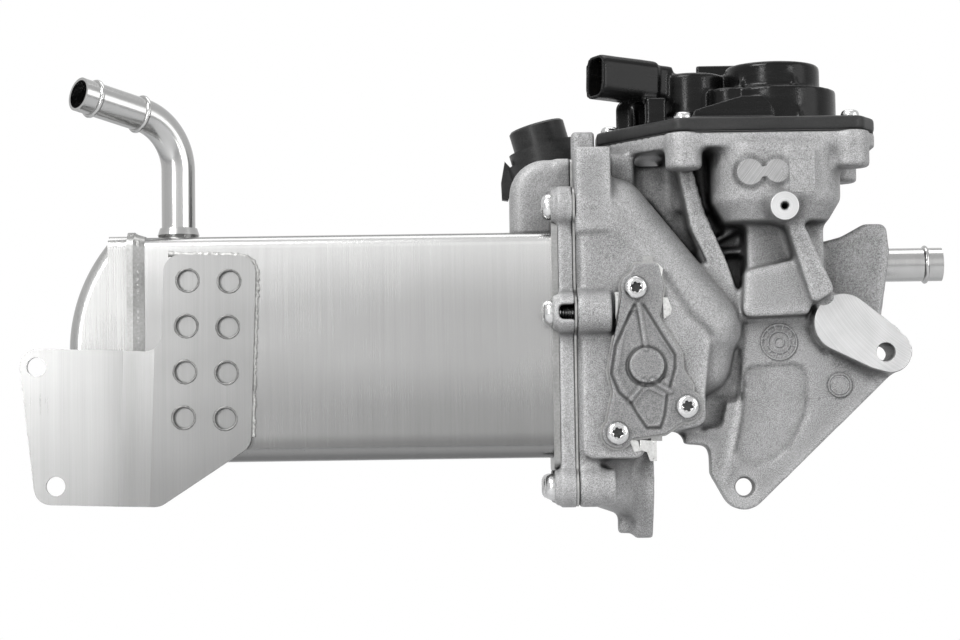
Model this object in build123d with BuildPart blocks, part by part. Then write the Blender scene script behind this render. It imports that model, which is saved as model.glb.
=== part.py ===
from build123d import *
import math
import os

os.makedirs("parts", exist_ok=True)

# Frame: origin at the centre of the lower lug hole, on the front face of the lug.
# X runs along the cooler towards the valve, Y away from the viewer, Z up. Millimetres.

# Cooler casing
casing_depth = 60.0
casing_height = 105.0
casing_wall = 1.5
casing_corner = 6.0
casing_mid_y = 20.0
casing_mid_z = 67.5
casing_length = 194.0

# Joint between the cooler and the housing
joint_x = -77.9
gasket_thick = 1.0
adapter_thick = 7.1
cooler_flange_thick = 2.9
housing_flange_thick = 10.1
flange_land = 4.0
flange_top_z = 138.0
flange_bottom_z = -5.0
lobe_radius = 9.5
joint_fillet = 4.0
boss_radius = 8.0
flange_clearance = 0.3
flange_weld_land = 6.0
gasket_inset = 0.4
bolt_top_z = 131.3
bolt_mid_z = 81.4
bolt_mid_out = 8.0
bolt_bottom_z = 1.3
bolt_thread = 6.0
bolt_hole = 6.6
bolt_head_radius = 6.2
bolt_head_height = 4.6
bolt_engagement = 14.0
window_height = 43.0
window_land = 5.0
window_corner = 6.0
window_bar = 9.0

# Coolant way through the elbow, the adapter and the joint
coolant_bore = 14.0
elbow_left_x = -107.6
elbow_width = 30.0
elbow_top_z = 155.8
elbow_bend_radius = 17.0
elbow_edge = 6.0
elbow_axis_x = -96.6
elbow_bore_z = 145.0
tongue_half_width = 15.0
tongue_top_z = 156.2

# Return tank
tank_reach = 27.7
tank_dome_radius = 78.0
tank_corner = 9.0
tank_wall = 1.4
tank_band_length = 9.0
tank_band_step = 0.7
header_rim = 2.5
header_thick = 3.0
flare_length = 5.0

# Tube bundle
tube_columns = 6
tube_banks = 2
tube_width = 6.4
tube_height = 43.0
tube_wall = 0.7
tube_pitch = 9.2
tube_bank_pitch = 50.0
tube_proud = 1.5
slot_gap = 0.1
baffle_thick = 1.0
baffle_count = 2
baffle_window = 7.0

# Left coolant pipe
hose_stub_diameter = 16.0
pipe_wall = 1.25
inlet_x = -265.6
inlet_foot_rise = 34.0
inlet_bend_radius = 26.0
inlet_bend_angle = 79.0
inlet_turn_angle = 41.5
inlet_straight = 35.0
bead_height = 1.2
bead_places = [8.0, 34.0]
collar_radius = 9.4
collar_height = 6.5

# Side bracket, drawn in its own frame about the middle of its plug welds
sheet_thick = 3.0
bracket_mid_x = -249.0
bracket_mid_z = 67.0
bracket_tilt = 2.0
bracket_joggle = 6.0
bracket_hole = 9.0
bracket_corner = 8.0
bracket_fold_radius = 2.5
bracket_stock = 5.0
joggle_left = -37.5
joggle_right = -24.0
bracket_left_u = -86.2
bracket_right_u = 21.8
bracket_neck_u = -21.0
bracket_top_w = 43.8
bracket_step_w = -1.6
bracket_shoulder_w = -44.2
bracket_foot_w = -73.2
bracket_foot_left_u = -75.6
bracket_foot_right_u = -19.6
bracket_hole_high = (-77.2, -10.0)
bracket_hole_low = (-66.7, -64.6)
weld_pitch_x = 19.2
weld_pitch_z = 21.2
weld_hole = 10.7
weld_dish = 2.2

# Housing: flap chamber, seen from the front
chamber_front_y = -17.5
chamber_back_y = 50.0
chamber_corner = 5.0
chamber_outline = [
    (-76, 14),
    (-76, 125),
    (-60, 125),
    (-44, 108),
    (-37, 98),
    (-25.5, 81),
    (-16, 69),
    (-19, 44),
    (-19, 29),
    (-29, 27),
    (-47, 24.5),
    (-47, 14),
]
chamber_inside_front_y = -8.0
chamber_inside_back_y = 45.0
chamber_inside = [(-73, 20), (-73, 114), (-61, 114), (-48, 110), (-38, 88), (-37, 36), (-54, 20)]
housing_bar_thick = 5.0
top_block_length = 16.9
top_block_y = 10.0
top_block_depth = 58.0
top_block_low_z = 118.5
top_block_high_z = 158.4
square_lug_length = 11.1
square_lug_depth = 12.0
square_lug_height = 11.1
shoulder_block = [(-66, 120), (-66, 159), (-48.5, 157), (-48.5, 120)]
shoulder_block_front_y = 6.0
duct_start = (-60, 0, 128.5)
duct_end = (-17, 0, 75)
duct_radius = 17.0
duct_bore_setback = 16.0
duct_bore_radius = 11.0
duct_foot = (-20.5, 2, 58)
duct_foot_radius = 15.0
transfer_y = 8.0
transfer_bore_radius = 9.0
transfer_wall = 3.0
coolant_mouth_depth = 14.0

# Ribs and plates between the duct and the valve column
rear_strut = [
    (-30.5, 158),
    (-24, 158),
    (-16.3, 128.3),
    (-6.5, 105.1),
    (2.3, 78.7),
    (-3.4, 73.2),
    (-13.6, 99.1),
    (-23.5, 121.3),
]
rear_strut_front_y = -4.0
rear_strut_back_y = 16.0
wing_plate = [(-43, 150), (-37.7, 149), (-36, 145), (-30.7, 145), (-24, 119), (-17.6, 104), (-43, 138)]
wing_plate_front_y = 14.0
wing_plate_back_y = 20.0
back_plate = [(-27, 150), (-9, 150), (-6, 130), (10, 130), (10, 84), (3, 74), (-20, 106)]
back_plate_front_y = 16.0
back_plate_back_y = 22.0
back_fins = [((-10, 116.8), (5, 124.2)), ((-12, 110.6), (6, 111)), ((-16, 146), (-16, 129))]
fin_width = 2.4
fin_front_y = 11.0

# Gas ports, both with two tapped holes
port_bore = 32.0
port_radius = 20.0
port_thick = 8.5
port_hole_spacing = 42.0
port_ear_radius = 7.0
port_screw = 6.8
port_boss_length = 8.0
inlet_port_x = -41.3
inlet_port_y = 30.0
inlet_throat_radius = 13.0
inlet_throat_depth = 8.0
inlet_port_z = 4.0
neck_mid_z = 12.5
neck_height = 41.0
neck_wall = 5.0
neck_inside_low_z = 2.0
neck_inside_depth = 28.0
outlet_port_x = 25.0
outlet_port_y = 54.0
outlet_port_z = 102.0
outlet_ear_angle = 30.0
outlet_bore_radius = 13.0

# Valve column, belly and the deck that carries the actuator
valve_x = 21.0
valve_y = 20.0
column_left_x = 3.0
column_right_x = 39.0
column_depth = 44.0
column_low_z = 48.0
belly_low_z = 123.0
belly_mid_x = 16.5
belly_mid_y = 10.0
belly_width = 60.0
belly_depth = 68.0
belly_corner = 18.0
belly_pads = [(2.7, 144.6, 6.2), (15.2, 144.9, 5.6)]
belly_pad_rise = 1.0
belly_block = [(20.4, 155), (33, 155), (33, 134.5), (20.4, 134.5)]
belly_block_rise = 1.6
deck_z = 164.0
deck_thick = 7.0
deck_corners = [
    (-31, -22),
    (55, -22),
    (63, -8),
    (63, 48),
    (52, 58),
    (-52, 58),
    (-65, 46),
    (-65, 27),
]
deck_corner_radius = 6.0
deck_screws = [(-27, -15.5), (50.5, -15.5), (-58.5, 31), (54, 47), (-4, 51.5), (-50, 51)]
deck_boss_radius = 8.6
deck_boss_drop = 10.0
deck_thread = 4.2

# Lower web with its lug, machined pad and threaded boss
web_front_y = 0.0
web_back_y = 12.0
web_outline = [
    (0.6, 84),
    (-1.3, 40.8),
    (-8, 39.3),
    (-10.5, 28.5),
    (-27.6, 25.7),
    (-27.7, 20.3),
    (-17.6, 19.7),
    (-15.8, 16.2),
    (-15.6, 6.2),
    (-9.4, -4.9),
    (7.7, -7.3),
    (70, 51.8),
    (58, 78),
    (36, 92),
]
ledge_outline = [(-30, 44), (3, 44), (1, 18.6), (-12, 18.6), (-13, 24.5), (-30, 24.5)]
ledge_front_y = 4.0
web_recess = [(2, 56), (32, 56), (32.5, 34.5), (19, 15), (6, 13), (-3.4, 20), (1.6, 40.5)]
web_recess_corner = 4.0
web_recess_depth = 0.9
web_ridge = [(0.2, 57), (-0.1, 40.5), (-4.6, 21.9), (-11.4, 2.9)]
web_ridge_width = 1.6
web_ridge_rise = 1.0
lug_radius = 10.6
fixing_hole = 9.0
pad_front_y = -8.0
pad_back_y = 22.0
pad_big = (46.4, 75.7)
pad_big_radius = 13.8
pad_mid = (63.5, 64.8)
pad_mid_radius = 11.5
pad_end = (68.3, 61.9)
pad_end_radius = 10.0
pad_hole_place = (65.9, 61.7)
pad_hole = 8.8
boss_place = (17.9, 128.5)
boss_front_y = -28.0
boss_face_radius = 6.6
boss_hole = 4.2
boss_hole_depth = 14.0
strut_outline = [(20, 122), (25.8, 126.5), (42, 90), (31.6, 84)]
strut_front_y = -16.0
raised_outline = [(-0.4, 78.7), (1, 100.5), (24.8, 105.4), (29.4, 103.9), (31.6, 79.7)]
raised_front_y = -10.0

# Pipe boss and right coolant pipe
pipe_boss_outline = [
    (36, 84),
    (38, 115),
    (50, 118),
    (61, 124),
    (71.5, 124),
    (73, 110),
    (68, 78),
    (56, 66),
]
pipe_boss_front_y = 16.0
pipe_boss_back_y = 46.0
outlet_pipe_y = 30.0
outlet_pipe_z = 105.2
outlet_pipe_end_x = 99.7
pipe_seat_x = 58.0

# Bypass flap
flap_x = -46.2
flap_z = 56.4
flap_reach = 28.2
flap_tail = 8.6
flap_thick = 2.5
flap_hub_radius = 6.0
flap_shaft_radius = 4.0
flap_rest_angle = 157.0
flap_swing = 45.0
flap_side_gap = 0.5
bush_radius = 6.5
rear_boss = 13.0
rear_boss_radius = 10.0
lever_thick = 2.5
lever_gap = 0.8
lever_pin_radius = 2.0
lever_pin_end_y = 75.0
eye_play = 0.3
eye_radius = 5.8
eye_thick = 3.6

# Vacuum can on its tilted axis, stations measured down from the crown
can_top = (-93.2, 71.0, 180.6)
can_tilt = 15.5
can_wall = 1.5
can_crown_radius = 14.0
can_crown_length = 11.0
can_shoulder_radius = 17.0
can_shoulder_length = 17.0
can_skirt_radius = 19.5
can_skirt_end = 29.0
can_base_start = 24.0
can_base_end = 38.0
can_boss_radius = 5.0
can_boss_end = 42.0
diaphragm_radius = 14.5
diaphragm_start = 23.2
diaphragm_end = 25.0
rod_radius = 2.0
rod_play = 0.3
nipple_radius = 2.5
nipple_length = 12.0
nipple_collar_radius = 4.0
nipple_collar_length = 3.75
can_spring_radius = 9.0
can_spring_wire = 0.8
can_stud_radius = 2.5
can_stud_side = 8.0
can_stud_half = 8.0
can_stud_end = 46.0
can_nut_width = 8.0
can_nut_height = 4.0
vacuum_sheet = 2.0
vacuum_leg_margin = 9.0
vacuum_leg_rise = 13.0
vacuum_leg_reach = 14.0
vacuum_leg_corner = 3.0
vacuum_shelf_end = 16.0

# Flap cover
cover_thick = 3.6
cover_gasket_thick = 0.5
cover_thread = 4.2
cover_screw_places = [(-50.6, 92.3), (-28.0, 37.5), (-60.1, 25.7)]
cover_outline = [
    (-57, 90),
    (-51, 103.5),
    (-40, 103.5),
    (-37.5, 92),
    (-40.5, 79),
    (-30, 62),
    (-29.5, 54),
    (-25, 47),
    (-26, 33),
    (-38, 25),
    (-60, 22),
    (-65, 31),
    (-62, 44),
    (-64, 54),
    (-59, 80),
]
cover_corner = 2.0
cover_ear_radius = 7.0
cover_boss_radius = 8.0
cover_boss_rise = 1.6
cover_bearing_radius = 7.5
cover_recess_depth = 0.9
cover_recess = [(-54.5, 81), (-48, 83), (-34, 60), (-34, 51), (-45, 49), (-54.5, 42), (-59.5, 53)]
cover_pocket = [(-52.5, 38.5), (-46, 46), (-38, 42), (-39.5, 30.5), (-46, 29)]
cover_rib_width = 3.0
cover_screw_head = 5.6
cover_screw_height = 3.8
cover_screw_length = 13.0
gasket_proud = 0.9
gasket_tabs = [(-44.5, 105.0), (-42.0, 23.8)]
cover_opening = [(-56, 84), (-46, 84), (-35, 62), (-35, 46), (-48, 32), (-54, 36), (-62, 52)]

# Poppet valve
seat_outer_radius = 14.0
seat_bore_radius = 11.0
seat_low_z = 90.0
outlet_low_z = 94.0
outlet_high_z = 112.0
guide_radius = 6.0
spring_low_z = 130.0
spring_well_radius = 11.0
valve_lift = 6.0
stem_radius = 3.0

# Motor and gears, module 1
motor_x = -19.0
motor_y = 25.0
motor_radius = 13.5
motor_gap = 0.3
motor_low_z = 136.0
motor_cup_low_z = 131.0
gear_module = 1.0
pinion_teeth = 10
step_large_teeth = 36
step_small_teeth = 12
lift_teeth = 40
pin_radius = 2.0
pin_low_z = 150.0
pin_high_z = 186.0
addendum = 0.85
dedendum = 1.25
pressure_angle = 20.0
tooth_backlash = 0.25
pinion_low_z = 167.0
pinion_high_z = 173.0
step_large_low_z = 168.0
step_large_high_z = 172.0
step_small_high_z = 183.0
lift_low_z = 176.0
lift_high_z = 182.0
lift_flange_radius = 13.0
lift_flange_thick = 2.0
lift_hub_radius = 6.5
motor_shaft_radius = 1.5
motor_top_z = 165.5
thread_radius = 4.0
stem_shoulder_z = 160.0
stem_top_z = 190.0
spring_plate_radius = 9.0
spring_plate_thick = 2.0
valve_spring_radius = 7.0
valve_spring_wire = 0.8
poppet_radius = 12.0
poppet_thick = 4.0
guide_high_z = 128.0

# Actuator cover, black moulding
seal_thick = 0.4
moulding_flange_top_z = 170.9
gear_dome_x = 19.0
gear_dome_radius = 22.5
gear_dome_top_z = 200.0
shoulder_dome_radius = 28.0
shoulder_dome_top_z = 187.5
motor_dome_radius = 15.5
motor_dome_top_z = 197.0
step_dome_radius = 10.0
step_dome_top_z = 187.8
platform_top_z = 176.4
moulding_wall = 2.5
dome_edge = 2.0
dome_gussets = [(-71.0, 31.0, 171.0, 194.0), (-135.0, 32.0, 176.0, 194.0)]
gusset_thick = 1.8
ridge_outline = [
    (-35.8, 170),
    (-18, 175.9),
    (-0.2, 181),
    (10.4, 181.3),
    (14.5, 176.5),
    (15.2, 170),
]
ridge_front_y = -18.0
ridge_back_y = 6.0
tab_left_x = -15.6
tab_right_x = 8.8
tab_y = 40.0
tab_top_z = 205.0
tab_thick = 2.2
post_left_x = -55.0
post_right_x = -38.0
post_y = 35.0
post_top_z = 187.5
post_thick = 3.0
connector_mouth = (-67.0, 5.0, 194.5)
connector_turn = 26.0
connector_drop = 3.0
connector_length = 31.0
connector_neck_length = 40.0
connector_neck_step = 1.5
connector_width = 17.0
connector_height = 20.5
connector_corner = 5.0
connector_wall = 1.8
connector_depth = 15.0
connector_pin_count = 5
connector_pin_pitch = 2.6
connector_pin_length = 6.0
deck_screw_head = 4.4
deck_screw_height = 3.0
deck_screw_length = 18.0

# Pieces seat with this gap where they are not pressed face to face
seat_gap = 0.1
running_gap = 0.05

flange_half_depth = casing_depth / 2 + flange_land
bolt_outer_half = casing_depth / 2
bolt_mid_half = casing_depth / 2 + bolt_mid_out
window_depth = casing_depth - 2 * window_land
casing_right_x = joint_x - gasket_thick - adapter_thick - cooler_flange_thick
casing_left_x = casing_right_x - casing_length
casing_front_y = casing_mid_y - casing_depth / 2
casing_top_z = casing_mid_z + casing_height / 2
casing_bottom_z = casing_mid_z - casing_height / 2
adapter_left_x = joint_x - gasket_thick - adapter_thick
header_left_x = casing_left_x - header_thick
bolt_places = [
    (-bolt_outer_half, bolt_top_z),
    (bolt_outer_half, bolt_top_z),
    (-bolt_mid_half, bolt_mid_z),
    (bolt_mid_half, bolt_mid_z),
    (-bolt_outer_half, bolt_bottom_z),
    (bolt_outer_half, bolt_bottom_z),
]
flap_chamber_end = chamber_back_y + rear_boss
motor_mesh = gear_module * (pinion_teeth + step_large_teeth) / 2
lift_mesh = gear_module * (step_small_teeth + lift_teeth) / 2
motor_to_valve = math.hypot(valve_x - motor_x, valve_y - motor_y)
mesh_angle = math.atan2(valve_y - motor_y, valve_x - motor_x) - math.acos(
    (motor_mesh**2 + motor_to_valve**2 - lift_mesh**2) / (2 * motor_mesh * motor_to_valve)
)
step_x = motor_x + motor_mesh * math.cos(mesh_angle)
step_y = motor_y + motor_mesh * math.sin(mesh_angle)
can_down = Vector(math.sin(math.radians(can_tilt)), 0, -math.cos(math.radians(can_tilt)))
can_side = Vector(math.cos(math.radians(can_tilt)), 0, math.sin(math.radians(can_tilt)))
shaft_from_can = Vector(flap_x, can_top[1], flap_z) - Vector(*can_top)
rod_offset = abs(shaft_from_can.dot(can_side))
lever_radius = rod_offset / ((1 + math.cos(math.radians(flap_swing / 2))) / 2)
lever_rest_angle = 180 + can_tilt + flap_swing / 2
lever_pin_x = flap_x + lever_radius * math.cos(math.radians(lever_rest_angle))
lever_pin_z = flap_z + lever_radius * math.sin(math.radians(lever_rest_angle))
eye_station = (Vector(lever_pin_x, can_top[1], lever_pin_z) - Vector(*can_top)).dot(can_down)


def front_plane(y):
    # Faces the viewer at depth y: local x is X, local y is Z, extrusion comes forward.
    return Plane.XZ.offset(-y)


def end_plane(x):
    # Looks along X at the middle of the cooler: local x is depth, local y is Z.
    return Plane(origin=(x, casing_mid_y, 0), x_dir=(0, 1, 0), z_dir=(1, 0, 0))


def tube_places():
    first = -(tube_columns - 1) / 2 * tube_pitch
    low = casing_mid_z - (tube_banks - 1) / 2 * tube_bank_pitch
    return [
        (first + column * tube_pitch, low + bank * tube_bank_pitch)
        for bank in range(tube_banks)
        for column in range(tube_columns)
    ]


# Casing: a folded and seam-welded rectangular tube
with BuildPart() as cooler_casing:
    with BuildSketch(end_plane(casing_left_x)):
        with Locations((0, casing_mid_z)):
            RectangleRounded(casing_depth, casing_height, casing_corner)
            RectangleRounded(
                casing_depth - 2 * casing_wall,
                casing_height - 2 * casing_wall,
                casing_corner - casing_wall,
                mode=Mode.SUBTRACT,
            )
    extrude(amount=casing_length)
    with Locations((inlet_x, casing_mid_y, casing_top_z)):
        Cylinder(hose_stub_diameter / 2 - pipe_wall, 4 * casing_wall, mode=Mode.SUBTRACT)
    with Locations((elbow_axis_x, casing_mid_y, casing_top_z)):
        Cylinder(coolant_bore / 2, 4 * casing_wall, mode=Mode.SUBTRACT)
cooler_casing.part.label = "cooler_casing"
export_step(cooler_casing.part, "parts/cooler_casing.step")


# Left header: tube plate with a rim round the casing end and a weld flare behind it
with BuildPart() as tube_header_left:
    with BuildSketch(end_plane(header_left_x)):
        with Locations((0, casing_mid_z)):
            RectangleRounded(
                casing_depth + 2 * header_rim,
                casing_height + 2 * header_rim,
                casing_corner + header_rim,
            )
        with Locations(*tube_places()):
            RectangleRounded(
                tube_width + 2 * slot_gap,
                tube_height + 2 * slot_gap,
                tube_width / 2 + slot_gap - 0.01,
                mode=Mode.SUBTRACT,
            )
    extrude(amount=header_thick)
    with BuildSketch(end_plane(casing_left_x)):
        with Locations((0, casing_mid_z)):
            RectangleRounded(
                casing_depth + 2 * header_rim - 1,
                casing_height + 2 * header_rim - 1,
                casing_corner + header_rim - 0.5,
            )
    with BuildSketch(end_plane(casing_left_x + flare_length)):
        with Locations((0, casing_mid_z)):
            RectangleRounded(casing_depth + 0.8, casing_height + 0.8, casing_corner + 0.4)
    loft()
    with BuildSketch(end_plane(casing_left_x)):
        with Locations((0, casing_mid_z)):
            RectangleRounded(casing_depth, casing_height, casing_corner)
    extrude(amount=flare_length, mode=Mode.SUBTRACT)
tube_header_left.part.label = "tube_header_left"
export_step(tube_header_left.part, "parts/tube_header_left.step")


# Right header: tube plate brazed inside the casing
with BuildPart() as tube_header_right:
    with BuildSketch(end_plane(casing_right_x - header_thick)):
        with Locations((0, casing_mid_z)):
            RectangleRounded(
                casing_depth - 2 * casing_wall,
                casing_height - 2 * casing_wall,
                casing_corner - casing_wall,
            )
        with Locations(*tube_places()):
            RectangleRounded(
                tube_width + 2 * slot_gap,
                tube_height + 2 * slot_gap,
                tube_width / 2 + slot_gap - 0.01,
                mode=Mode.SUBTRACT,
            )
    extrude(amount=casing_wall)
tube_header_right.part.label = "tube_header_right"
export_step(tube_header_right.part, "parts/tube_header_right.step")


# Flat gas tubes, two banks, from the left header to the right one
tube_left_x = header_left_x - tube_proud
tube_right_x = casing_right_x - header_thick + casing_wall + tube_proud / 2
with BuildPart() as cooling_tubes:
    with BuildSketch(end_plane(tube_left_x)):
        with Locations(*tube_places()):
            RectangleRounded(tube_width, tube_height, tube_width / 2 - 0.01)
            RectangleRounded(
                tube_width - 2 * tube_wall,
                tube_height - 2 * tube_wall,
                tube_width / 2 - tube_wall - 0.01,
                mode=Mode.SUBTRACT,
            )
    extrude(amount=tube_right_x - tube_left_x)
cooling_tubes.part.label = "cooling_tubes"
export_step(cooling_tubes.part, "parts/cooling_tubes.step")


# Baffles hold the tubes apart and leave a window at alternate ends for the coolant
with BuildPart() as tube_baffles:
    for index in range(baffle_count):
        baffle_x = casing_left_x + casing_length * (index + 1) / (baffle_count + 1)
        window_side = 1 if index % 2 else -1
        with BuildSketch(end_plane(baffle_x)):
            with Locations((0, casing_mid_z)):
                RectangleRounded(
                    casing_depth - 2 * casing_wall,
                    casing_height - 2 * casing_wall,
                    casing_corner - casing_wall,
                )
            with Locations(*tube_places()):
                RectangleRounded(
                    tube_width + 2 * slot_gap,
                    tube_height + 2 * slot_gap,
                    tube_width / 2 + slot_gap - 0.01,
                    mode=Mode.SUBTRACT,
                )
            with Locations((0, casing_mid_z + window_side * casing_height / 2)):
                Rectangle(casing_depth, 2 * baffle_window, mode=Mode.SUBTRACT)
        extrude(amount=baffle_thick)
tube_baffles.part.label = "tube_baffles"
export_step(tube_baffles.part, "parts/tube_baffles.step")


# Return tank: a deep-drawn cup, domed in side view, open towards the header
tank_left_x = header_left_x - tank_reach
dome_edge_x = tank_left_x + tank_dome_radius - math.sqrt(
    tank_dome_radius**2 - (casing_height / 2) ** 2
)
with BuildPart() as return_tank:
    with BuildSketch(front_plane(casing_front_y)):
        with BuildLine():
            tank_top = Line((header_left_x, casing_top_z), (dome_edge_x, casing_top_z))
            ThreePointArc(
                tank_top @ 1, (tank_left_x, casing_mid_z), (dome_edge_x, casing_bottom_z)
            )
            Line((dome_edge_x, casing_bottom_z), (header_left_x, casing_bottom_z))
            Line((header_left_x, casing_bottom_z), (header_left_x, casing_top_z))
        make_face()
        fillet(vertices().group_by(Axis.X)[0], tank_corner)
    extrude(amount=-casing_depth)
    side_faces = return_tank.faces().sort_by(Axis.Y)
    rim_edges = side_faces[0].edges() + side_faces[-1].edges()
    rim_edges = rim_edges.filter_by(lambda e: e.center().X < header_left_x - 1)
    fillet(rim_edges, casing_corner)
    with BuildSketch(end_plane(header_left_x - tank_band_length)):
        with Locations((0, casing_mid_z)):
            RectangleRounded(
                casing_depth + 2 * tank_band_step,
                casing_height + 2 * tank_band_step,
                casing_corner + tank_band_step,
            )
    extrude(amount=tank_band_length)
    offset(amount=-tank_wall, openings=return_tank.faces().sort_by(Axis.X)[-1])
return_tank.part.label = "return_tank"
export_step(return_tank.part, "parts/return_tank.step")


# Left coolant pipe: up from the casing, then one bend towards the viewer's left
turn = math.radians(inlet_turn_angle)
inlet_away = Vector(-math.cos(turn), -math.sin(turn), 0)
inlet_plane = Plane(
    origin=(inlet_x, casing_mid_y, casing_top_z),
    x_dir=inlet_away,
    z_dir=(-math.sin(turn), math.cos(turn), 0),
)
stub_radius = hose_stub_diameter / 2
with BuildPart() as inlet_pipe:
    with BuildLine(inlet_plane) as inlet_path:
        foot = Line((0, 0), (0, inlet_foot_rise))
        bend = JernArc(foot @ 1, foot % 1, inlet_bend_radius, -inlet_bend_angle)
        Line(bend @ 1, (bend @ 1) + (bend % 1) * inlet_straight)
    with BuildSketch(Plane(origin=(inlet_x, casing_mid_y, casing_top_z), z_dir=(0, 0, 1))):
        Circle(stub_radius)
        Circle(stub_radius - pipe_wall, mode=Mode.SUBTRACT)
    sweep()
    mouth = inlet_path.line @ 1
    outward = inlet_path.line % 1
    for back in bead_places:
        bead_plane = Plane(origin=mouth - outward * back, z_dir=outward)
        with Locations(bead_plane.location):
            Torus(stub_radius, bead_height)
inlet_pipe.part.label = "inlet_pipe"
export_step(inlet_pipe.part, "parts/inlet_pipe.step")


# Collar brazed round the foot of the pipe, turned with two ridges
with BuildPart() as pipe_collar:
    with BuildSketch(Plane.XZ.offset(-casing_mid_y)):
        with BuildLine():
            inner = inlet_x + stub_radius + running_gap
            outer = inlet_x + collar_radius
            step = collar_height / 4
            Polyline(
                (inner, casing_top_z),
                (outer + 0.9, casing_top_z),
                (outer + 0.9, casing_top_z + step * 0.6),
                (outer, casing_top_z + step),
                (outer + 0.5, casing_top_z + step * 2),
                (outer, casing_top_z + step * 3),
                (outer - 0.5, casing_top_z + collar_height),
                (inner, casing_top_z + collar_height),
                close=True,
            )
        make_face()
    revolve(axis=Axis((inlet_x, casing_mid_y, 0), (0, 0, 1)))
pipe_collar.part.label = "pipe_collar"
export_step(pipe_collar.part, "parts/pipe_collar.step")


# Side bracket: joggled sheet, cut to its outline, with plug welds to the casing
tilt = math.radians(bracket_tilt)
bracket_right = (math.cos(tilt), 0, -math.sin(tilt))
bracket_up = (math.sin(tilt), 0, math.cos(tilt))
bracket_middle = (bracket_mid_x, casing_front_y, bracket_mid_z)
bracket_face = Plane(origin=bracket_middle, x_dir=bracket_right, z_dir=(0, -1, 0))
bracket_section = Plane(origin=bracket_middle, x_dir=bracket_right, z_dir=bracket_up)
stock_left = bracket_left_u - bracket_stock
stock_right = bracket_right_u + bracket_stock
with BuildPart() as side_bracket:
    with BuildSketch(bracket_section):
        with BuildLine():
            Polyline(
                (stock_left, -bracket_joggle),
                (stock_left, -bracket_joggle - sheet_thick),
                (joggle_left, -bracket_joggle - sheet_thick),
                (joggle_right, -sheet_thick),
                (stock_right, -sheet_thick),
                (stock_right, 0),
                (joggle_right - sheet_thick / 3, 0),
                (joggle_left - sheet_thick / 3, -bracket_joggle),
                close=True,
            )
        make_face()
        fold_corners = vertices().filter_by(
            lambda v: joggle_left - bracket_stock < v.X - bracket_mid_x < joggle_right + bracket_stock
        )
        fillet(fold_corners, bracket_fold_radius)
    extrude(amount=bracket_top_w - bracket_foot_w, both=True)
    with BuildSketch(bracket_face):
        with BuildLine():
            Polyline(
                (bracket_left_u, bracket_step_w),
                (bracket_neck_u, bracket_step_w),
                (bracket_neck_u, bracket_top_w),
                (bracket_right_u, bracket_top_w),
                (bracket_right_u, bracket_shoulder_w),
                (bracket_foot_right_u, bracket_foot_w),
                (bracket_foot_left_u, bracket_foot_w),
                close=True,
            )
        make_face()
        corners = vertices().sort_by(Axis.Z)
        fillet(corners, bracket_corner)
        with Locations(bracket_hole_high, bracket_hole_low):
            Circle(bracket_hole / 2, mode=Mode.SUBTRACT)
    extrude(amount=bracket_joggle + 2 * sheet_thick, both=True, mode=Mode.INTERSECT)
    with BuildSketch(bracket_face.offset(sheet_thick)):
        with GridLocations(weld_pitch_x, weld_pitch_z, 2, 4):
            Circle(weld_hole / 2)
    extrude(amount=-weld_dish, mode=Mode.SUBTRACT)
side_bracket.part.label = "side_bracket"
export_step(side_bracket.part, "parts/side_bracket.step")


def windows():
    # The two gas windows of the joint, with a bar between them
    with BuildSketch(Plane.XY, mode=Mode.PRIVATE) as pair:
        with Locations(
            (0, casing_mid_z - (window_height + window_bar) / 2),
            (0, casing_mid_z + (window_height + window_bar) / 2),
        ):
            RectangleRounded(window_depth, window_height, window_corner)
    return pair.sketch


def joint_outline(inset=0.0):
    # Outline shared by the adapter, the gasket and the housing flange
    with BuildSketch(Plane.XY, mode=Mode.PRIVATE) as outline:
        with Locations((0, (flange_top_z + flange_bottom_z) / 2)):
            Rectangle(2 * flange_half_depth, flange_top_z - flange_bottom_z)
        with Locations(*bolt_places):
            Circle(lobe_radius)
        with Locations((0, (flange_top_z + tongue_top_z) / 2 - 4)):
            Rectangle(2 * tongue_half_width, tongue_top_z - flange_top_z + 8)
        fillet(outline.vertices(), joint_fillet)
        if inset:
            offset(amount=-inset)
    return outline.sketch


# Steel flange welded to the casing, cut away round the adapter's bosses and the elbow
with BuildPart() as cooler_flange:
    with BuildSketch(end_plane(casing_right_x)):
        with Locations((0, casing_mid_z)):
            RectangleRounded(
                2 * flange_half_depth - 1, casing_height + 2 * flange_weld_land, casing_corner
            )
            RectangleRounded(
                casing_depth - 2 * casing_wall,
                casing_height - 2 * casing_wall,
                casing_corner - casing_wall,
                mode=Mode.SUBTRACT,
            )
        with Locations(*bolt_places):
            Circle(boss_radius + flange_clearance, mode=Mode.SUBTRACT)
        with Locations((0, casing_top_z + flange_weld_land)):
            Rectangle(
                elbow_width + 2 * flange_clearance, 2 * flange_weld_land, mode=Mode.SUBTRACT
            )
    extrude(amount=cooler_flange_thick)
cooler_flange.part.label = "cooler_flange"
export_step(cooler_flange.part, "parts/cooler_flange.step")


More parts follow.
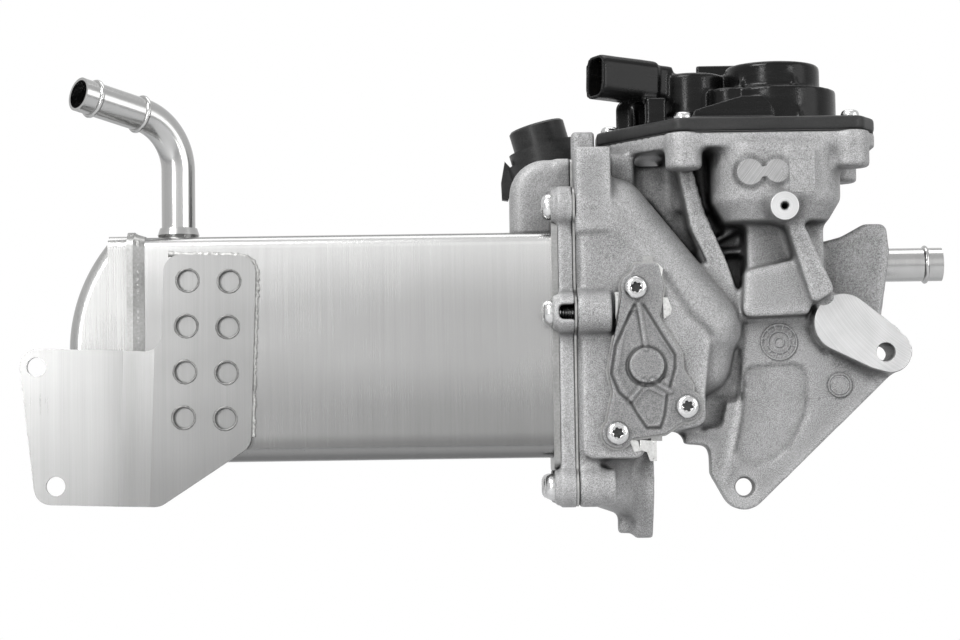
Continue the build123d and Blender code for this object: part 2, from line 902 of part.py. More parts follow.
# Cast adapter: a frame with bolt bosses and the coolant elbow
with BuildPart() as adapter_frame:
    with BuildSketch(front_plane(casing_mid_y - elbow_width / 2)):
        with BuildLine():
            elbow_rise = Line(
                (elbow_left_x, casing_top_z), (elbow_left_x, elbow_top_z - elbow_bend_radius)
            )
            elbow_arc = JernArc(elbow_rise @ 1, (0, 1), elbow_bend_radius, -90)
            elbow_roof = Line(elbow_arc @ 1, (adapter_left_x + 1, elbow_top_z))
            Polyline(
                elbow_roof @ 1,
                (adapter_left_x + 1, casing_top_z),
                (elbow_left_x, casing_top_z),
            )
        make_face()
    extrude(amount=-elbow_width)
    elbow_sides = adapter_frame.faces().sort_by(Axis.Y)
    elbow_edges = elbow_sides[0].edges() + elbow_sides[-1].edges()
    elbow_edges = elbow_edges.filter_by(
        lambda e: e.center().X < adapter_left_x and e.center().Z > casing_top_z + 1
    )
    fillet(elbow_edges, elbow_edge)
    with BuildSketch(end_plane(adapter_left_x)):
        add(joint_outline())
        add(windows(), mode=Mode.SUBTRACT)
    extrude(amount=adapter_thick)
    with BuildSketch(end_plane(casing_right_x)):
        with Locations(*bolt_places):
            Circle(boss_radius)
    extrude(amount=cooler_flange_thick)
    with Locations((elbow_axis_x, casing_mid_y, casing_top_z)):
        Cylinder(
            coolant_bore / 2,
            elbow_bore_z - casing_top_z,
            align=(Align.CENTER, Align.CENTER, Align.MIN),
            mode=Mode.SUBTRACT,
        )
    with Locations((elbow_axis_x, casing_mid_y, elbow_bore_z)):
        Sphere(coolant_bore / 2, mode=Mode.SUBTRACT)
        Cylinder(
            coolant_bore / 2,
            joint_x - elbow_axis_x + 1,
            rotation=(0, 90, 0),
            align=(Align.CENTER, Align.CENTER, Align.MIN),
            mode=Mode.SUBTRACT,
        )
    with BuildSketch(end_plane(casing_right_x - 1)):
        with Locations(*bolt_places):
            Circle(bolt_hole / 2)
    extrude(amount=cooler_flange_thick + adapter_thick + 2, mode=Mode.SUBTRACT)
    with BuildSketch(end_plane(adapter_left_x)):
        with Locations((-bolt_mid_half - lobe_radius, bolt_mid_z)):
            Rectangle(2 * lobe_radius, bolt_hole)
    extrude(amount=adapter_thick + 1, mode=Mode.SUBTRACT)
adapter_frame.part.label = "adapter_frame"
export_step(adapter_frame.part, "parts/adapter_frame.step")


# Gasket in the joint
with BuildPart() as joint_gasket:
    with BuildSketch(end_plane(joint_x - gasket_thick)):
        add(joint_outline(gasket_inset))
        add(windows(), mode=Mode.SUBTRACT)
        with Locations(*bolt_places):
            Circle(bolt_hole / 2, mode=Mode.SUBTRACT)
        with Locations((0, elbow_bore_z)):
            Circle(coolant_bore / 2, mode=Mode.SUBTRACT)
    extrude(amount=gasket_thick)
joint_gasket.part.label = "joint_gasket"
export_step(joint_gasket.part, "parts/joint_gasket.step")


def star_socket(radius):
    # Six-lobed driving recess
    with BuildSketch(Plane.XY, mode=Mode.PRIVATE) as star:
        Circle(radius * 0.78)
        with PolarLocations(radius * 0.72, 6):
            Circle(radius * 0.26)
    return star.sketch


def flange_screw(head_radius, head_height, thread_radius, length):
    # Pan head with a pressed flange, shank along -Z, seat at Z = 0
    with BuildPart(mode=Mode.PRIVATE) as screw:
        Cylinder(
            head_radius, head_height * 0.3, align=(Align.CENTER, Align.CENTER, Align.MIN)
        )
        Cylinder(
            head_radius * 0.76, head_height, align=(Align.CENTER, Align.CENTER, Align.MIN)
        )
        chamfer(screw.edges().group_by(Axis.Z)[-1], head_height * 0.22)
        Cylinder(thread_radius, length, align=(Align.CENTER, Align.CENTER, Align.MAX))
        with BuildSketch(Plane.XY.offset(head_height)):
            add(star_socket(head_radius * 0.52))
        extrude(amount=-head_height * 0.5, mode=Mode.SUBTRACT)
    return screw.part


# Flange bolts, heads on the cooler side
bolt_reach = joint_x + bolt_engagement - casing_right_x
joint_bolt = flange_screw(bolt_head_radius, bolt_head_height, bolt_thread / 2, bolt_reach)
with BuildPart() as joint_bolts:
    for bolt_y, bolt_z in bolt_places:
        on_sheet = bolt_y > 0 and bolt_z > bolt_bottom_z
        bolt_seat_x = casing_right_x - (vacuum_sheet if on_sheet else 0)
        seat = Plane(
            origin=(bolt_seat_x, casing_mid_y + bolt_y, bolt_z),
            x_dir=(0, 1, 0),
            z_dir=(-1, 0, 0),
        )
        with Locations(seat.location):
            add(joint_bolt)
joint_bolts.part.label = "joint_bolts"
export_step(joint_bolts.part, "parts/joint_bolts.step")


def lug_block(points, radius, y_front, y_back):
    # Cast block: an outline drawn facing the viewer, its corners rounded, then extruded back
    with BuildPart(mode=Mode.PRIVATE) as block:
        with BuildSketch(front_plane(y_front)):
            with BuildLine():
                Polyline(*points, close=True)
            make_face()
            if radius:
                fillet(vertices(), radius)
        extrude(amount=y_front - y_back)
    return block.part


def fin(low, high, width, y_front, y_back):
    # Straight cast rib between two points of the front view
    along = (Vector(*high) - Vector(*low)).normalized()
    across = Vector(-along.Y, along.X) * (width / 2)
    low, high = Vector(*low), Vector(*high)
    corners = [low - across, low + across, high + across, high - across]
    return lug_block([(c.X, c.Y) for c in corners], 0, y_front, y_back)


def round_bar(start, end, radius):
    # Round bar between two points, with ball ends
    start, end = Vector(*start), Vector(*end)
    reach = end - start
    with BuildPart(mode=Mode.PRIVATE) as bar:
        with BuildSketch(Plane(origin=start, z_dir=reach.normalized())):
            Circle(radius)
        extrude(amount=reach.length)
        with Locations(start, end):
            Sphere(radius)
    return bar.part


def depth_bore(x, z, y_front, y_back, radius):
    # Cylinder along Y between two depths
    with BuildPart(mode=Mode.PRIVATE) as bore:
        with BuildSketch(front_plane(y_front)):
            with Locations((x, z)):
                Circle(radius)
        extrude(amount=y_front - y_back)
    return bore.part


def upright(x, y, z_low, z_high, radius):
    # Cylinder along Z between two heights
    with BuildPart(mode=Mode.PRIVATE) as post:
        with BuildSketch(Plane.XY.offset(z_low)):
            with Locations((x, y)):
                Circle(radius)
        extrude(amount=z_high - z_low)
    return post.part


def deck_outline(inset=0.0):
    # Plan of the actuator deck, shared by the housing, the seal and the black cover
    with BuildSketch(Plane.XY, mode=Mode.PRIVATE) as deck:
        with BuildLine():
            Polyline(*deck_corners, close=True)
        make_face()
        fillet(deck.vertices(), deck_corner_radius)
        if inset:
            offset(amount=-inset)
    return deck.sketch


def port_outline(radius, ear_radius, ear_angle):
    # Two-hole gas flange: a round centre blended into two ears
    ear_x = port_hole_spacing / 2 * math.cos(math.radians(ear_angle))
    ear_y = port_hole_spacing / 2 * math.sin(math.radians(ear_angle))
    with BuildSketch(Plane.XY, mode=Mode.PRIVATE) as port:
        Circle(radius)
        with Locations((ear_x, ear_y), (-ear_x, -ear_y)):
            Circle(ear_radius)
        make_hull()
    return port.sketch


# Housing: one casting
with BuildPart() as valve_housing:
    # joint flange with its tongue
    with BuildSketch(end_plane(joint_x)):
        add(joint_outline())
    extrude(amount=housing_flange_thick)
    # flap chamber behind the flange
    add(lug_block(chamber_outline, chamber_corner, chamber_front_y, chamber_back_y))
    # block over the top bolt and the square lug above it
    top_block_mid_z = (top_block_low_z + top_block_high_z) / 2
    with Locations((joint_x + top_block_length / 2, top_block_y, top_block_mid_z)):
        Box(top_block_length, top_block_depth, top_block_high_z - top_block_low_z)
    top_block_back_y = top_block_y + top_block_depth / 2
    add(lug_block(shoulder_block, 1.5, shoulder_block_front_y, top_block_back_y))
    with Locations((joint_x + square_lug_length / 2, casing_mid_y - 2, top_block_high_z)):
        Box(square_lug_length, square_lug_depth, 2 * square_lug_height)
    add(depth_bore(flap_x, flap_z, valve_y, flap_chamber_end, rear_boss_radius))
    # bosses for the flange bolts
    with BuildSketch(end_plane(joint_x)):
        with Locations((-bolt_mid_half, bolt_mid_z), (bolt_mid_half, bolt_mid_z)):
            Circle(lobe_radius + 0.5)
    extrude(amount=bolt_engagement + 2)
    with BuildSketch(end_plane(joint_x)):
        with Locations(
            (-bolt_outer_half, bolt_bottom_z),
            (bolt_outer_half, bolt_bottom_z),
            (bolt_outer_half, bolt_top_z),
        ):
            Circle(lobe_radius - 1)
    extrude(amount=bolt_engagement + 3)
    # gas duct, running down from the top block to the foot of the valve column
    add(round_bar(duct_start, duct_end, duct_radius))
    add(round_bar(duct_end, duct_foot, duct_foot_radius))
    transfer_start = (duct_end[0], transfer_y, duct_end[2])
    transfer_end = (valve_x, valve_y, duct_end[2])
    add(round_bar(transfer_start, transfer_end, transfer_bore_radius + transfer_wall))
    # ribs and plates behind the duct
    add(lug_block(rear_strut, 1.5, rear_strut_front_y, rear_strut_back_y))
    add(lug_block(wing_plate, 1.0, wing_plate_front_y, wing_plate_back_y))
    add(lug_block(back_plate, 1.0, back_plate_front_y, back_plate_back_y))
    for low, high in back_fins:
        add(fin(low, high, fin_width, fin_front_y, back_plate_front_y + 1))
    # inlet neck and its port flange, facing +X
    with BuildSketch(end_plane(joint_x + housing_flange_thick - 2)):
        with Locations((0, neck_mid_z)):
            RectangleRounded(window_depth + 2 * neck_wall, neck_height, 12)
    with BuildSketch(end_plane(inlet_port_x - port_thick)):
        with Locations((inlet_port_y - casing_mid_y, inlet_port_z)):
            Circle(port_radius - 1)
    loft()
    with BuildSketch(end_plane(inlet_port_x - port_thick)):
        with Locations(Location((inlet_port_y - casing_mid_y, inlet_port_z))):
            add(port_outline(port_radius, port_ear_radius, 90))
    extrude(amount=port_thick)
    with BuildSketch(end_plane(inlet_port_x - port_thick - port_boss_length)):
        with Locations(
            (inlet_port_y - casing_mid_y, inlet_port_z - port_hole_spacing / 2),
            (inlet_port_y - casing_mid_y, inlet_port_z + port_hole_spacing / 2),
        ):
            Circle(port_ear_radius - 2.3)
    extrude(amount=port_boss_length)
    # valve column, belly and deck
    column_mid_x = (column_left_x + column_right_x) / 2
    with Locations((column_mid_x, valve_y, (column_low_z + belly_low_z) / 2)):
        Box(column_right_x - column_left_x, column_depth, belly_low_z - column_low_z + 8)
    with BuildSketch(Plane.XY.offset(belly_low_z)):
        with Locations((belly_mid_x, belly_mid_y)):
            RectangleRounded(belly_width - 12, belly_depth - 12, belly_corner - 4)
    with BuildSketch(Plane.XY.offset(belly_low_z + 10)):
        with Locations((belly_mid_x, belly_mid_y)):
            RectangleRounded(belly_width, belly_depth, belly_corner)
    loft()
    with BuildSketch(Plane.XY.offset(belly_low_z + 10)):
        with Locations((belly_mid_x, belly_mid_y)):
            RectangleRounded(belly_width, belly_depth, belly_corner)
    extrude(amount=deck_z - deck_thick - belly_low_z - 9)
    belly_front_y = belly_mid_y - belly_depth / 2
    for pad_x, pad_z, pad_radius in belly_pads:
        add(depth_bore(pad_x, pad_z, belly_front_y - belly_pad_rise, belly_mid_y, pad_radius))
    add(lug_block(belly_block, 1.0, belly_front_y - belly_block_rise, belly_mid_y))
    add(upright(motor_x, motor_y, motor_cup_low_z, deck_z - 1, motor_radius + motor_gap + 3))
    with BuildSketch(Plane.XY.offset(deck_z - deck_thick)):
        add(deck_outline())
    extrude(amount=deck_thick)
    deck_boss_low_z = deck_z - deck_thick - deck_boss_drop
    for screw_x, screw_y in deck_screws:
        add(upright(screw_x, screw_y, deck_boss_low_z, deck_z, deck_boss_radius))
    # web plate with the lower lug, the fixing pad and the threaded boss
    add(lug_block(web_outline, 1.5, web_front_y, web_back_y))
    add(
        lug_block(web_recess, web_recess_corner, web_front_y - 1, web_front_y + web_recess_depth),
        mode=Mode.SUBTRACT,
    )
    for low, high in zip(web_ridge, web_ridge[1:]):
        add(fin(low, high, web_ridge_width, web_front_y - web_ridge_rise, web_back_y))
    add(lug_block(ledge_outline, 1.0, ledge_front_y, web_back_y))
    add(depth_bore(0, 0, web_front_y, web_back_y, lug_radius))
    with BuildSketch(front_plane(pad_front_y)):
        with Locations(pad_big):
            Circle(pad_big_radius)
        with Locations(pad_mid):
            Circle(pad_mid_radius)
        make_hull()
        with Locations(pad_end):
            Circle(pad_end_radius)
    extrude(amount=pad_front_y - pad_back_y)
    add(depth_bore(*boss_place, boss_front_y, valve_y, boss_face_radius))
    add(lug_block(strut_outline, 2.0, strut_front_y, valve_y))
    add(lug_block(raised_outline, 3.0, raised_front_y, web_back_y))
    # pipe boss and gas outlet port on the right and at the back
    add(lug_block(pipe_boss_outline, 3.5, pipe_boss_front_y, pipe_boss_back_y))
    with BuildSketch(front_plane(outlet_port_y)):
        with Locations(Location((outlet_port_x, outlet_port_z))):
            add(port_outline(port_radius, port_ear_radius, outlet_ear_angle))
    extrude(amount=port_thick)
    add(depth_bore(outlet_port_x, outlet_port_z, valve_y, outlet_port_y, port_radius - 1))

    # gas way: windows, flap chamber, duct, valve chamber, outlet
    with BuildSketch(end_plane(joint_x)):
        add(windows())
    extrude(amount=housing_bar_thick + 1, mode=Mode.SUBTRACT)
    add(
        lug_block(chamber_inside, 5.0, chamber_inside_front_y, chamber_inside_back_y),
        mode=Mode.SUBTRACT,
    )
    duct_way = (Vector(*duct_end) - Vector(*duct_start)).normalized()
    duct_bore_start = Vector(*duct_start) + duct_way * duct_bore_setback
    add(round_bar(duct_bore_start, duct_end, duct_bore_radius), mode=Mode.SUBTRACT)
    add(round_bar(transfer_start, transfer_end, transfer_bore_radius), mode=Mode.SUBTRACT)
    add(upright(valve_x, valve_y, duct_end[2], outlet_high_z, seat_outer_radius), mode=Mode.SUBTRACT)
    add(
        round_bar(
            (valve_x, valve_y, outlet_port_z),
            (outlet_port_x, outlet_port_y, outlet_port_z),
            outlet_bore_radius,
        ),
        mode=Mode.SUBTRACT,
    )
    add(
        depth_bore(outlet_port_x, outlet_port_z, outlet_port_y - 8, outlet_port_y + 1, port_bore / 2),
        mode=Mode.SUBTRACT,
    )
    neck_start_x = joint_x + housing_flange_thick
    with BuildSketch(end_plane(inlet_port_x - port_thick)):
        with Locations((inlet_port_y - casing_mid_y, inlet_port_z)):
            Circle(port_bore / 2)
    extrude(amount=port_thick + 1, mode=Mode.SUBTRACT)
    with BuildSketch(end_plane(inlet_port_x - port_thick - inlet_throat_depth)):
        with Locations((inlet_port_y - casing_mid_y, inlet_port_z)):
            Circle(inlet_throat_radius)
    extrude(amount=inlet_throat_depth + 1, mode=Mode.SUBTRACT)
    with Locations(((neck_start_x + inlet_port_x - port_thick) / 2, inlet_port_y, neck_mid_z)):
        Box(
            inlet_port_x - port_thick - neck_start_x,
            neck_inside_depth,
            2 * (neck_mid_z - neck_inside_low_z),
            mode=Mode.SUBTRACT,
        )
    # stem guide bore, spring well, motor cup, gear pin
    add(upright(valve_x, valve_y, outlet_high_z - 1, deck_z, guide_radius), mode=Mode.SUBTRACT)
    add(upright(valve_x, valve_y, spring_low_z, deck_z + 1, spring_well_radius), mode=Mode.SUBTRACT)
    add(
        upright(motor_x, motor_y, motor_low_z, deck_z + 1, motor_radius + motor_gap),
        mode=Mode.SUBTRACT,
    )
    add(upright(step_x, step_y, pin_low_z, deck_z + 1, pin_radius), mode=Mode.SUBTRACT)
    # flap shaft bearing at the back and the cover's opening at the front
    add(depth_bore(flap_x, flap_z, 0, flap_chamber_end + 1, bush_radius), mode=Mode.SUBTRACT)
    add(
        lug_block(cover_opening, 6.0, chamber_front_y - 1, chamber_inside_front_y + 1),
        mode=Mode.SUBTRACT,
    )
    # fixing holes, tapped holes and the coolant mouth
    add(depth_bore(0, 0, web_front_y - 1, web_back_y + 1, fixing_hole / 2), mode=Mode.SUBTRACT)
    add(
        depth_bore(*pad_hole_place, pad_front_y - 1, pad_back_y + 1, pad_hole / 2),
        mode=Mode.SUBTRACT,
    )
    add(
        depth_bore(*boss_place, boss_front_y - 1, boss_front_y + boss_hole_depth, boss_hole / 2),
        mode=Mode.SUBTRACT,
    )
    with BuildSketch(end_plane(joint_x - 1)):
        with Locations(*bolt_places):
            Circle(bolt_thread / 2 + running_gap)
    extrude(amount=bolt_engagement + 2, mode=Mode.SUBTRACT)
    with BuildSketch(end_plane(joint_x - 1)):
        with Locations((0, elbow_bore_z)):
            Circle(coolant_bore / 2)
    extrude(amount=coolant_mouth_depth + 1, mode=Mode.SUBTRACT)
    for screw_x, screw_z in cover_screw_places:
        add(
            depth_bore(screw_x, screw_z, chamber_front_y - 1, chamber_front_y + 12, cover_thread / 2),
            mode=Mode.SUBTRACT,
        )
    for screw_x, screw_y in deck_screws:
        add(upright(screw_x, screw_y, deck_z - 13, deck_z + 1, deck_thread / 2), mode=Mode.SUBTRACT)
    with BuildSketch(end_plane(inlet_port_x + 1)):
        with Locations(
            (inlet_port_y - casing_mid_y, inlet_port_z - port_hole_spacing / 2),
            (inlet_port_y - casing_mid_y, inlet_port_z + port_hole_spacing / 2),
        ):
            Circle(port_screw / 2)
    extrude(amount=-port_thick - 6, mode=Mode.SUBTRACT)
    with BuildSketch(front_plane(outlet_port_y)):
        with Locations(Location((outlet_port_x, outlet_port_z), (0, 0, outlet_ear_angle))):
            with Locations((-port_hole_spacing / 2, 0), (port_hole_spacing / 2, 0)):
                Circle(port_screw / 2)
    extrude(amount=port_thick + 4, mode=Mode.SUBTRACT)
    with BuildSketch(Plane(origin=(pipe_seat_x, outlet_pipe_y, outlet_pipe_z), z_dir=(1, 0, 0))):
        Circle(stub_radius + running_gap)
    extrude(amount=40, mode=Mode.SUBTRACT)
valve_housing.part.label = "valve_housing"
export_step(valve_housing.part, "parts/valve_housing.step")


# Coolant pipe on the right, pushed into the pipe boss
with BuildPart() as outlet_pipe:
    with BuildSketch(Plane(origin=(pipe_seat_x, outlet_pipe_y, outlet_pipe_z), z_dir=(1, 0, 0))):
        Circle(stub_radius)
        Circle(stub_radius - pipe_wall, mode=Mode.SUBTRACT)
    extrude(amount=outlet_pipe_end_x - pipe_seat_x)
    outlet_bead_x = outlet_pipe_end_x - bead_places[0]
    bead_plane = Plane(origin=(outlet_bead_x, outlet_pipe_y, outlet_pipe_z), z_dir=(1, 0, 0))
    with Locations(bead_plane.location):
        Torus(stub_radius, bead_height)
outlet_pipe.part.label = "outlet_pipe"
export_step(outlet_pipe.part, "parts/outlet_pipe.step")


# Flap cover with its front bearing, and the sheet gasket behind it
cover_back_y = chamber_front_y - cover_gasket_thick
cover_front_y = cover_back_y - cover_thick
with BuildPart() as flap_cover:
    add(lug_block(cover_outline, cover_corner, cover_front_y, cover_back_y))
    for screw_x, screw_z in cover_screw_places:
        add(depth_bore(screw_x, screw_z, cover_front_y, cover_back_y, cover_ear_radius))
    recess_floor_y = cover_front_y + cover_recess_depth
    add(lug_block(cover_recess, 2.0, cover_front_y - 1, recess_floor_y), mode=Mode.SUBTRACT)
    add(lug_block(cover_pocket, 2.0, cover_front_y - 1, recess_floor_y), mode=Mode.SUBTRACT)
    boss_face_y = cover_front_y - cover_boss_rise
    add(depth_bore(flap_x, flap_z, boss_face_y, cover_back_y, cover_boss_radius))
    rib_top = cover_screw_places[0][1] - cover_ear_radius
    with BuildSketch(front_plane(cover_front_y)):
        with BuildLine():
            Polyline(
                (flap_x - cover_rib_width / 2, flap_z + cover_boss_radius - 1),
                (flap_x + cover_rib_width / 2, flap_z + cover_boss_radius - 1),
                (flap_x - 1, rib_top),
                (flap_x - 1 - cover_rib_width, rib_top),
                close=True,
            )
        make_face()
    extrude(amount=-cover_thick / 2)
    bearing_end_y = chamber_inside_front_y
    add(depth_bore(flap_x, flap_z, cover_back_y, bearing_end_y, cover_bearing_radius))
    bearing_bore = flap_shaft_radius + running_gap
    add(
        depth_bore(flap_x, flap_z, cover_back_y - 1, bearing_end_y + 1, bearing_bore),
        mode=Mode.SUBTRACT,
    )
    for screw_x, screw_z in cover_screw_places:
        add(
            depth_bore(
                screw_x, screw_z, cover_front_y - 1, cover_back_y + 1, cover_thread / 2 + seat_gap
            ),
            mode=Mode.SUBTRACT,
        )
flap_cover.part.label = "flap_cover"
export_step(flap_cover.part, "parts/flap_cover.step")

with BuildPart() as flap_gasket:
    with BuildSketch(front_plane(cover_back_y)):
        with BuildLine():
            Polyline(*cover_outline, close=True)
        make_face()
        fillet(vertices(), cover_corner)
        with Locations(*cover_screw_places):
            Circle(cover_ear_radius)
        offset(amount=gasket_proud)
        with Locations(*gasket_tabs):
            Rectangle(5, 4)
        with BuildLine():
            Polyline(*cover_opening, close=True)
        make_face(mode=Mode.SUBTRACT)
        with Locations(*cover_screw_places):
            Circle(cover_thread / 2 + seat_gap, mode=Mode.SUBTRACT)
    extrude(amount=-cover_gasket_thick)
flap_gasket.part.label = "flap_gasket"
export_step(flap_gasket.part, "parts/flap_gasket.step")

cover_screw = flange_screw(
    cover_screw_head, cover_screw_height, cover_thread / 2 - running_gap, cover_screw_length
)
with BuildPart() as cover_screws:
    for screw_x, screw_z in cover_screw_places:
        seat = Plane(origin=(screw_x, cover_front_y, screw_z), x_dir=(1, 0, 0), z_dir=(0, -1, 0))
        with Locations(seat.location):
            add(cover_screw)
cover_screws.part.label = "cover_screws"
export_step(cover_screws.part, "parts/cover_screws.step")


# Bypass flap: two-sided plate round a hub, pressed on its shaft
flap_front_y = chamber_inside_front_y + flap_side_gap
flap_back_y = chamber_inside_back_y - flap_side_gap
with BuildPart() as bypass_flap:
    with BuildSketch(front_plane(flap_front_y)):
        with Locations(Location((flap_x, flap_z), (0, 0, flap_rest_angle))):
            with Locations(((flap_reach - flap_tail) / 2, 0)):
                Rectangle(flap_reach + flap_tail, flap_thick)
            Circle(flap_hub_radius)
            Circle(flap_shaft_radius, mode=Mode.SUBTRACT)
    extrude(amount=flap_front_y - flap_back_y)
bypass_flap.part.label = "bypass_flap"
export_step(bypass_flap.part, "parts/bypass_flap.step")

lever_front_y = flap_chamber_end + lever_gap
lever_back_y = lever_front_y + lever_thick
with BuildPart() as flap_shaft:
    add(
        depth_bore(
            flap_x, flap_z, cover_back_y + seat_gap, lever_back_y + seat_gap, flap_shaft_radius
        )
    )
    chamfer(flap_shaft.edges().group_by(Axis.Y)[0], 0.6)
flap_shaft.part.label = "flap_shaft"
export_step(flap_shaft.part, "parts/flap_shaft.step")

with BuildPart() as flap_bush:
    add(depth_bore(flap_x, flap_z, chamber_inside_back_y, flap_chamber_end, bush_radius))
    add(
        depth_bore(
            flap_x, flap_z, chamber_inside_back_y - 1, flap_chamber_end + 1, bearing_bore
        ),
        mode=Mode.SUBTRACT,
    )
flap_bush.part.label = "flap_bush"
export_step(flap_bush.part, "parts/flap_bush.step")

with BuildPart() as flap_lever:
    with BuildSketch(front_plane(lever_front_y)):
        with Locations((flap_x, flap_z)):
            Circle(flap_shaft_radius + 3)
        with Locations((lever_pin_x, lever_pin_z)):
            Circle(lever_pin_radius + 2.5)
        make_hull()
        with Locations((flap_x, flap_z)):
            Circle(flap_shaft_radius, mode=Mode.SUBTRACT)
    extrude(amount=-lever_thick)
    add(depth_bore(lever_pin_x, lever_pin_z, lever_front_y, lever_pin_end_y, lever_pin_radius))
flap_lever.part.label = "flap_lever"
export_step(flap_lever.part, "parts/flap_lever.step")


def can_section():
    # Plane through the can's axis: local x is the radius, local y runs up the axis
    return Plane(origin=can_top, x_dir=can_side, z_dir=(0, -1, 0))


def can_station(station):
    # Plane square to the axis: local x is sideways, local y is depth, extrusion goes up
    origin = Vector(*can_top) + can_down * station
    return Plane(origin=origin, x_dir=can_side, z_dir=can_down * -1)


def can_turned(points):
    # Solid of revolution about the can's axis, from radius and station pairs
    with BuildPart(mode=Mode.PRIVATE) as turned:
        with BuildSketch(can_section()):
            with BuildLine():
                Polyline(*[(radius, -station) for radius, station in points], close=True)
            make_face()
        revolve(axis=Axis(can_top, can_down))
    return turned.part


can_travel = 2 * lever_radius * math.sin(math.radians(flap_swing / 2))
ceiling = diaphragm_start - can_travel - rod_play
with BuildPart() as vacuum_cap:
    add(
        can_turned(
            [
                (0, 0),
                (can_crown_radius - 1, 0),
                (can_crown_radius, 1),
                (can_crown_radius, can_crown_length),
                (can_shoulder_radius, can_crown_length),
                (can_shoulder_radius, can_shoulder_length),
                (can_skirt_radius, can_shoulder_length),
                (can_skirt_radius, can_skirt_end),
                (can_skirt_radius - can_wall, can_skirt_end),
                (can_skirt_radius - can_wall, can_base_start),
                (can_shoulder_radius - can_wall, can_base_start),
                (can_shoulder_radius - can_wall, ceiling),
                (can_crown_radius - can_wall, ceiling),
                (can_crown_radius - can_wall, 2),
                (0, 2),
            ]
        )
    )
    nipple_plane = Plane(
        origin=Vector(*can_top) + can_down * (can_crown_length / 2), z_dir=(0, 1, 0)
    )
    with BuildSketch(nipple_plane.offset(can_crown_radius - can_wall / 2)):
        Circle(nipple_collar_radius)
    extrude(amount=nipple_collar_length)
    with BuildSketch(nipple_plane.offset(can_crown_radius - can_wall / 2)):
        Circle(nipple_radius)
    extrude(amount=nipple_length)
    with BuildSketch(nipple_plane.offset(can_crown_radius - 2 * can_wall)):
        Circle(nipple_radius / 2)
    extrude(amount=nipple_length + 2 * can_wall, mode=Mode.SUBTRACT)
vacuum_cap.part.label = "vacuum_cap"
export_step(vacuum_cap.part, "parts/vacuum_cap.step")

base_radius = can_skirt_radius - can_wall
with BuildPart() as vacuum_base:
    add(
        can_turned(
            [
                (base_radius, can_base_start),
                (base_radius, can_base_end),
                (can_boss_radius, can_base_end),
                (can_boss_radius, can_boss_end),
                (rod_radius + rod_play, can_boss_end),
                (rod_radius + rod_play, can_base_end - can_wall),
                (base_radius - can_wall, can_base_end - can_wall),
                (base_radius - can_wall, can_base_start),
            ]
        )
    )
    with BuildSketch(can_station(can_base_end - can_wall / 2)):
        with Locations((can_stud_side, -can_stud_half), (can_stud_side, can_stud_half)):
            Circle(can_stud_radius)
    extrude(amount=-(can_stud_end - can_base_end + can_wall / 2))
vacuum_base.part.label = "vacuum_base"
export_step(vacuum_base.part, "parts/vacuum_base.step")

with BuildPart() as vacuum_rod:
    add(
        can_turned(
            [
                (0, diaphragm_start),
                (diaphragm_radius, diaphragm_start),
                (diaphragm_radius, diaphragm_end),
                (rod_radius, diaphragm_end),
                (rod_radius, eye_station - eye_radius + 1),
                (0, eye_station - eye_radius + 1),
            ]
        )
    )
    with BuildSketch(front_plane(can_top[1] - eye_thick / 2)):
        eye_x = can_top[0] + can_down.X * eye_station
        eye_z = can_top[2] + can_down.Z * eye_station
        with Locations(Location((eye_x, eye_z), (0, 0, can_tilt))):
            Circle(eye_radius)
            slot_side = (lever_radius - rod_offset) + lever_pin_radius + eye_play
            SlotOverall(
                2 * slot_side, 2 * (lever_pin_radius + eye_play), mode=Mode.SUBTRACT
            )
    extrude(amount=-eye_thick)
vacuum_rod.part.label = "vacuum_rod"
export_step(vacuum_rod.part, "parts/vacuum_rod.step")


def coil(radius, wire, length, turns):
    # Open spring standing on the ground plane
    with BuildPart(mode=Mode.PRIVATE) as spring:
        with BuildLine() as path:
            Helix(length / turns, length, radius)
        start = path.line @ 0
        with BuildSketch(Plane(origin=start, z_dir=path.line % 0)):
            RegularPolygon(wire, 6)
        sweep(is_frenet=True)
    return spring.part


with BuildPart() as vacuum_spring:
    can_spring_low = diaphragm_start - can_spring_wire
    can_spring_length = can_spring_low - 2 - can_spring_wire
    with Locations(can_station(can_spring_low).location):
        add(coil(can_spring_radius, can_spring_wire, can_spring_length, 4))
vacuum_spring.part.label = "vacuum_spring"
export_step(vacuum_spring.part, "parts/vacuum_spring.step")


# Sheet bracket of the can: clamped under the two rear bolt heads, folded under the can
vacuum_leg_outline = [
    (casing_mid_y + casing_depth / 2 + seat_gap, bolt_mid_z - vacuum_leg_margin),
    (casing_mid_y + bolt_mid_half + vacuum_leg_margin, bolt_mid_z - vacuum_leg_margin),
    (casing_mid_y + bolt_mid_half + vacuum_leg_margin, bolt_top_z - vacuum_leg_margin / 2),
    (can_top[1] + vacuum_leg_reach, bolt_top_z + vacuum_sheet),
    (can_top[1] + vacuum_leg_reach, bolt_top_z + vacuum_leg_rise),
    (casing_mid_y + bolt_outer_half - bolt_head_radius, bolt_top_z + vacuum_leg_rise),
    (casing_mid_y + bolt_outer_half - bolt_head_radius, bolt_top_z - vacuum_leg_margin),
    (casing_mid_y + casing_depth / 2 + seat_gap, bolt_top_z - vacuum_leg_margin),
]
shelf_root_x = casing_right_x - vacuum_sheet
shelf_start = (shelf_root_x - can_top[0] - can_down.X * can_base_end) / can_side.X
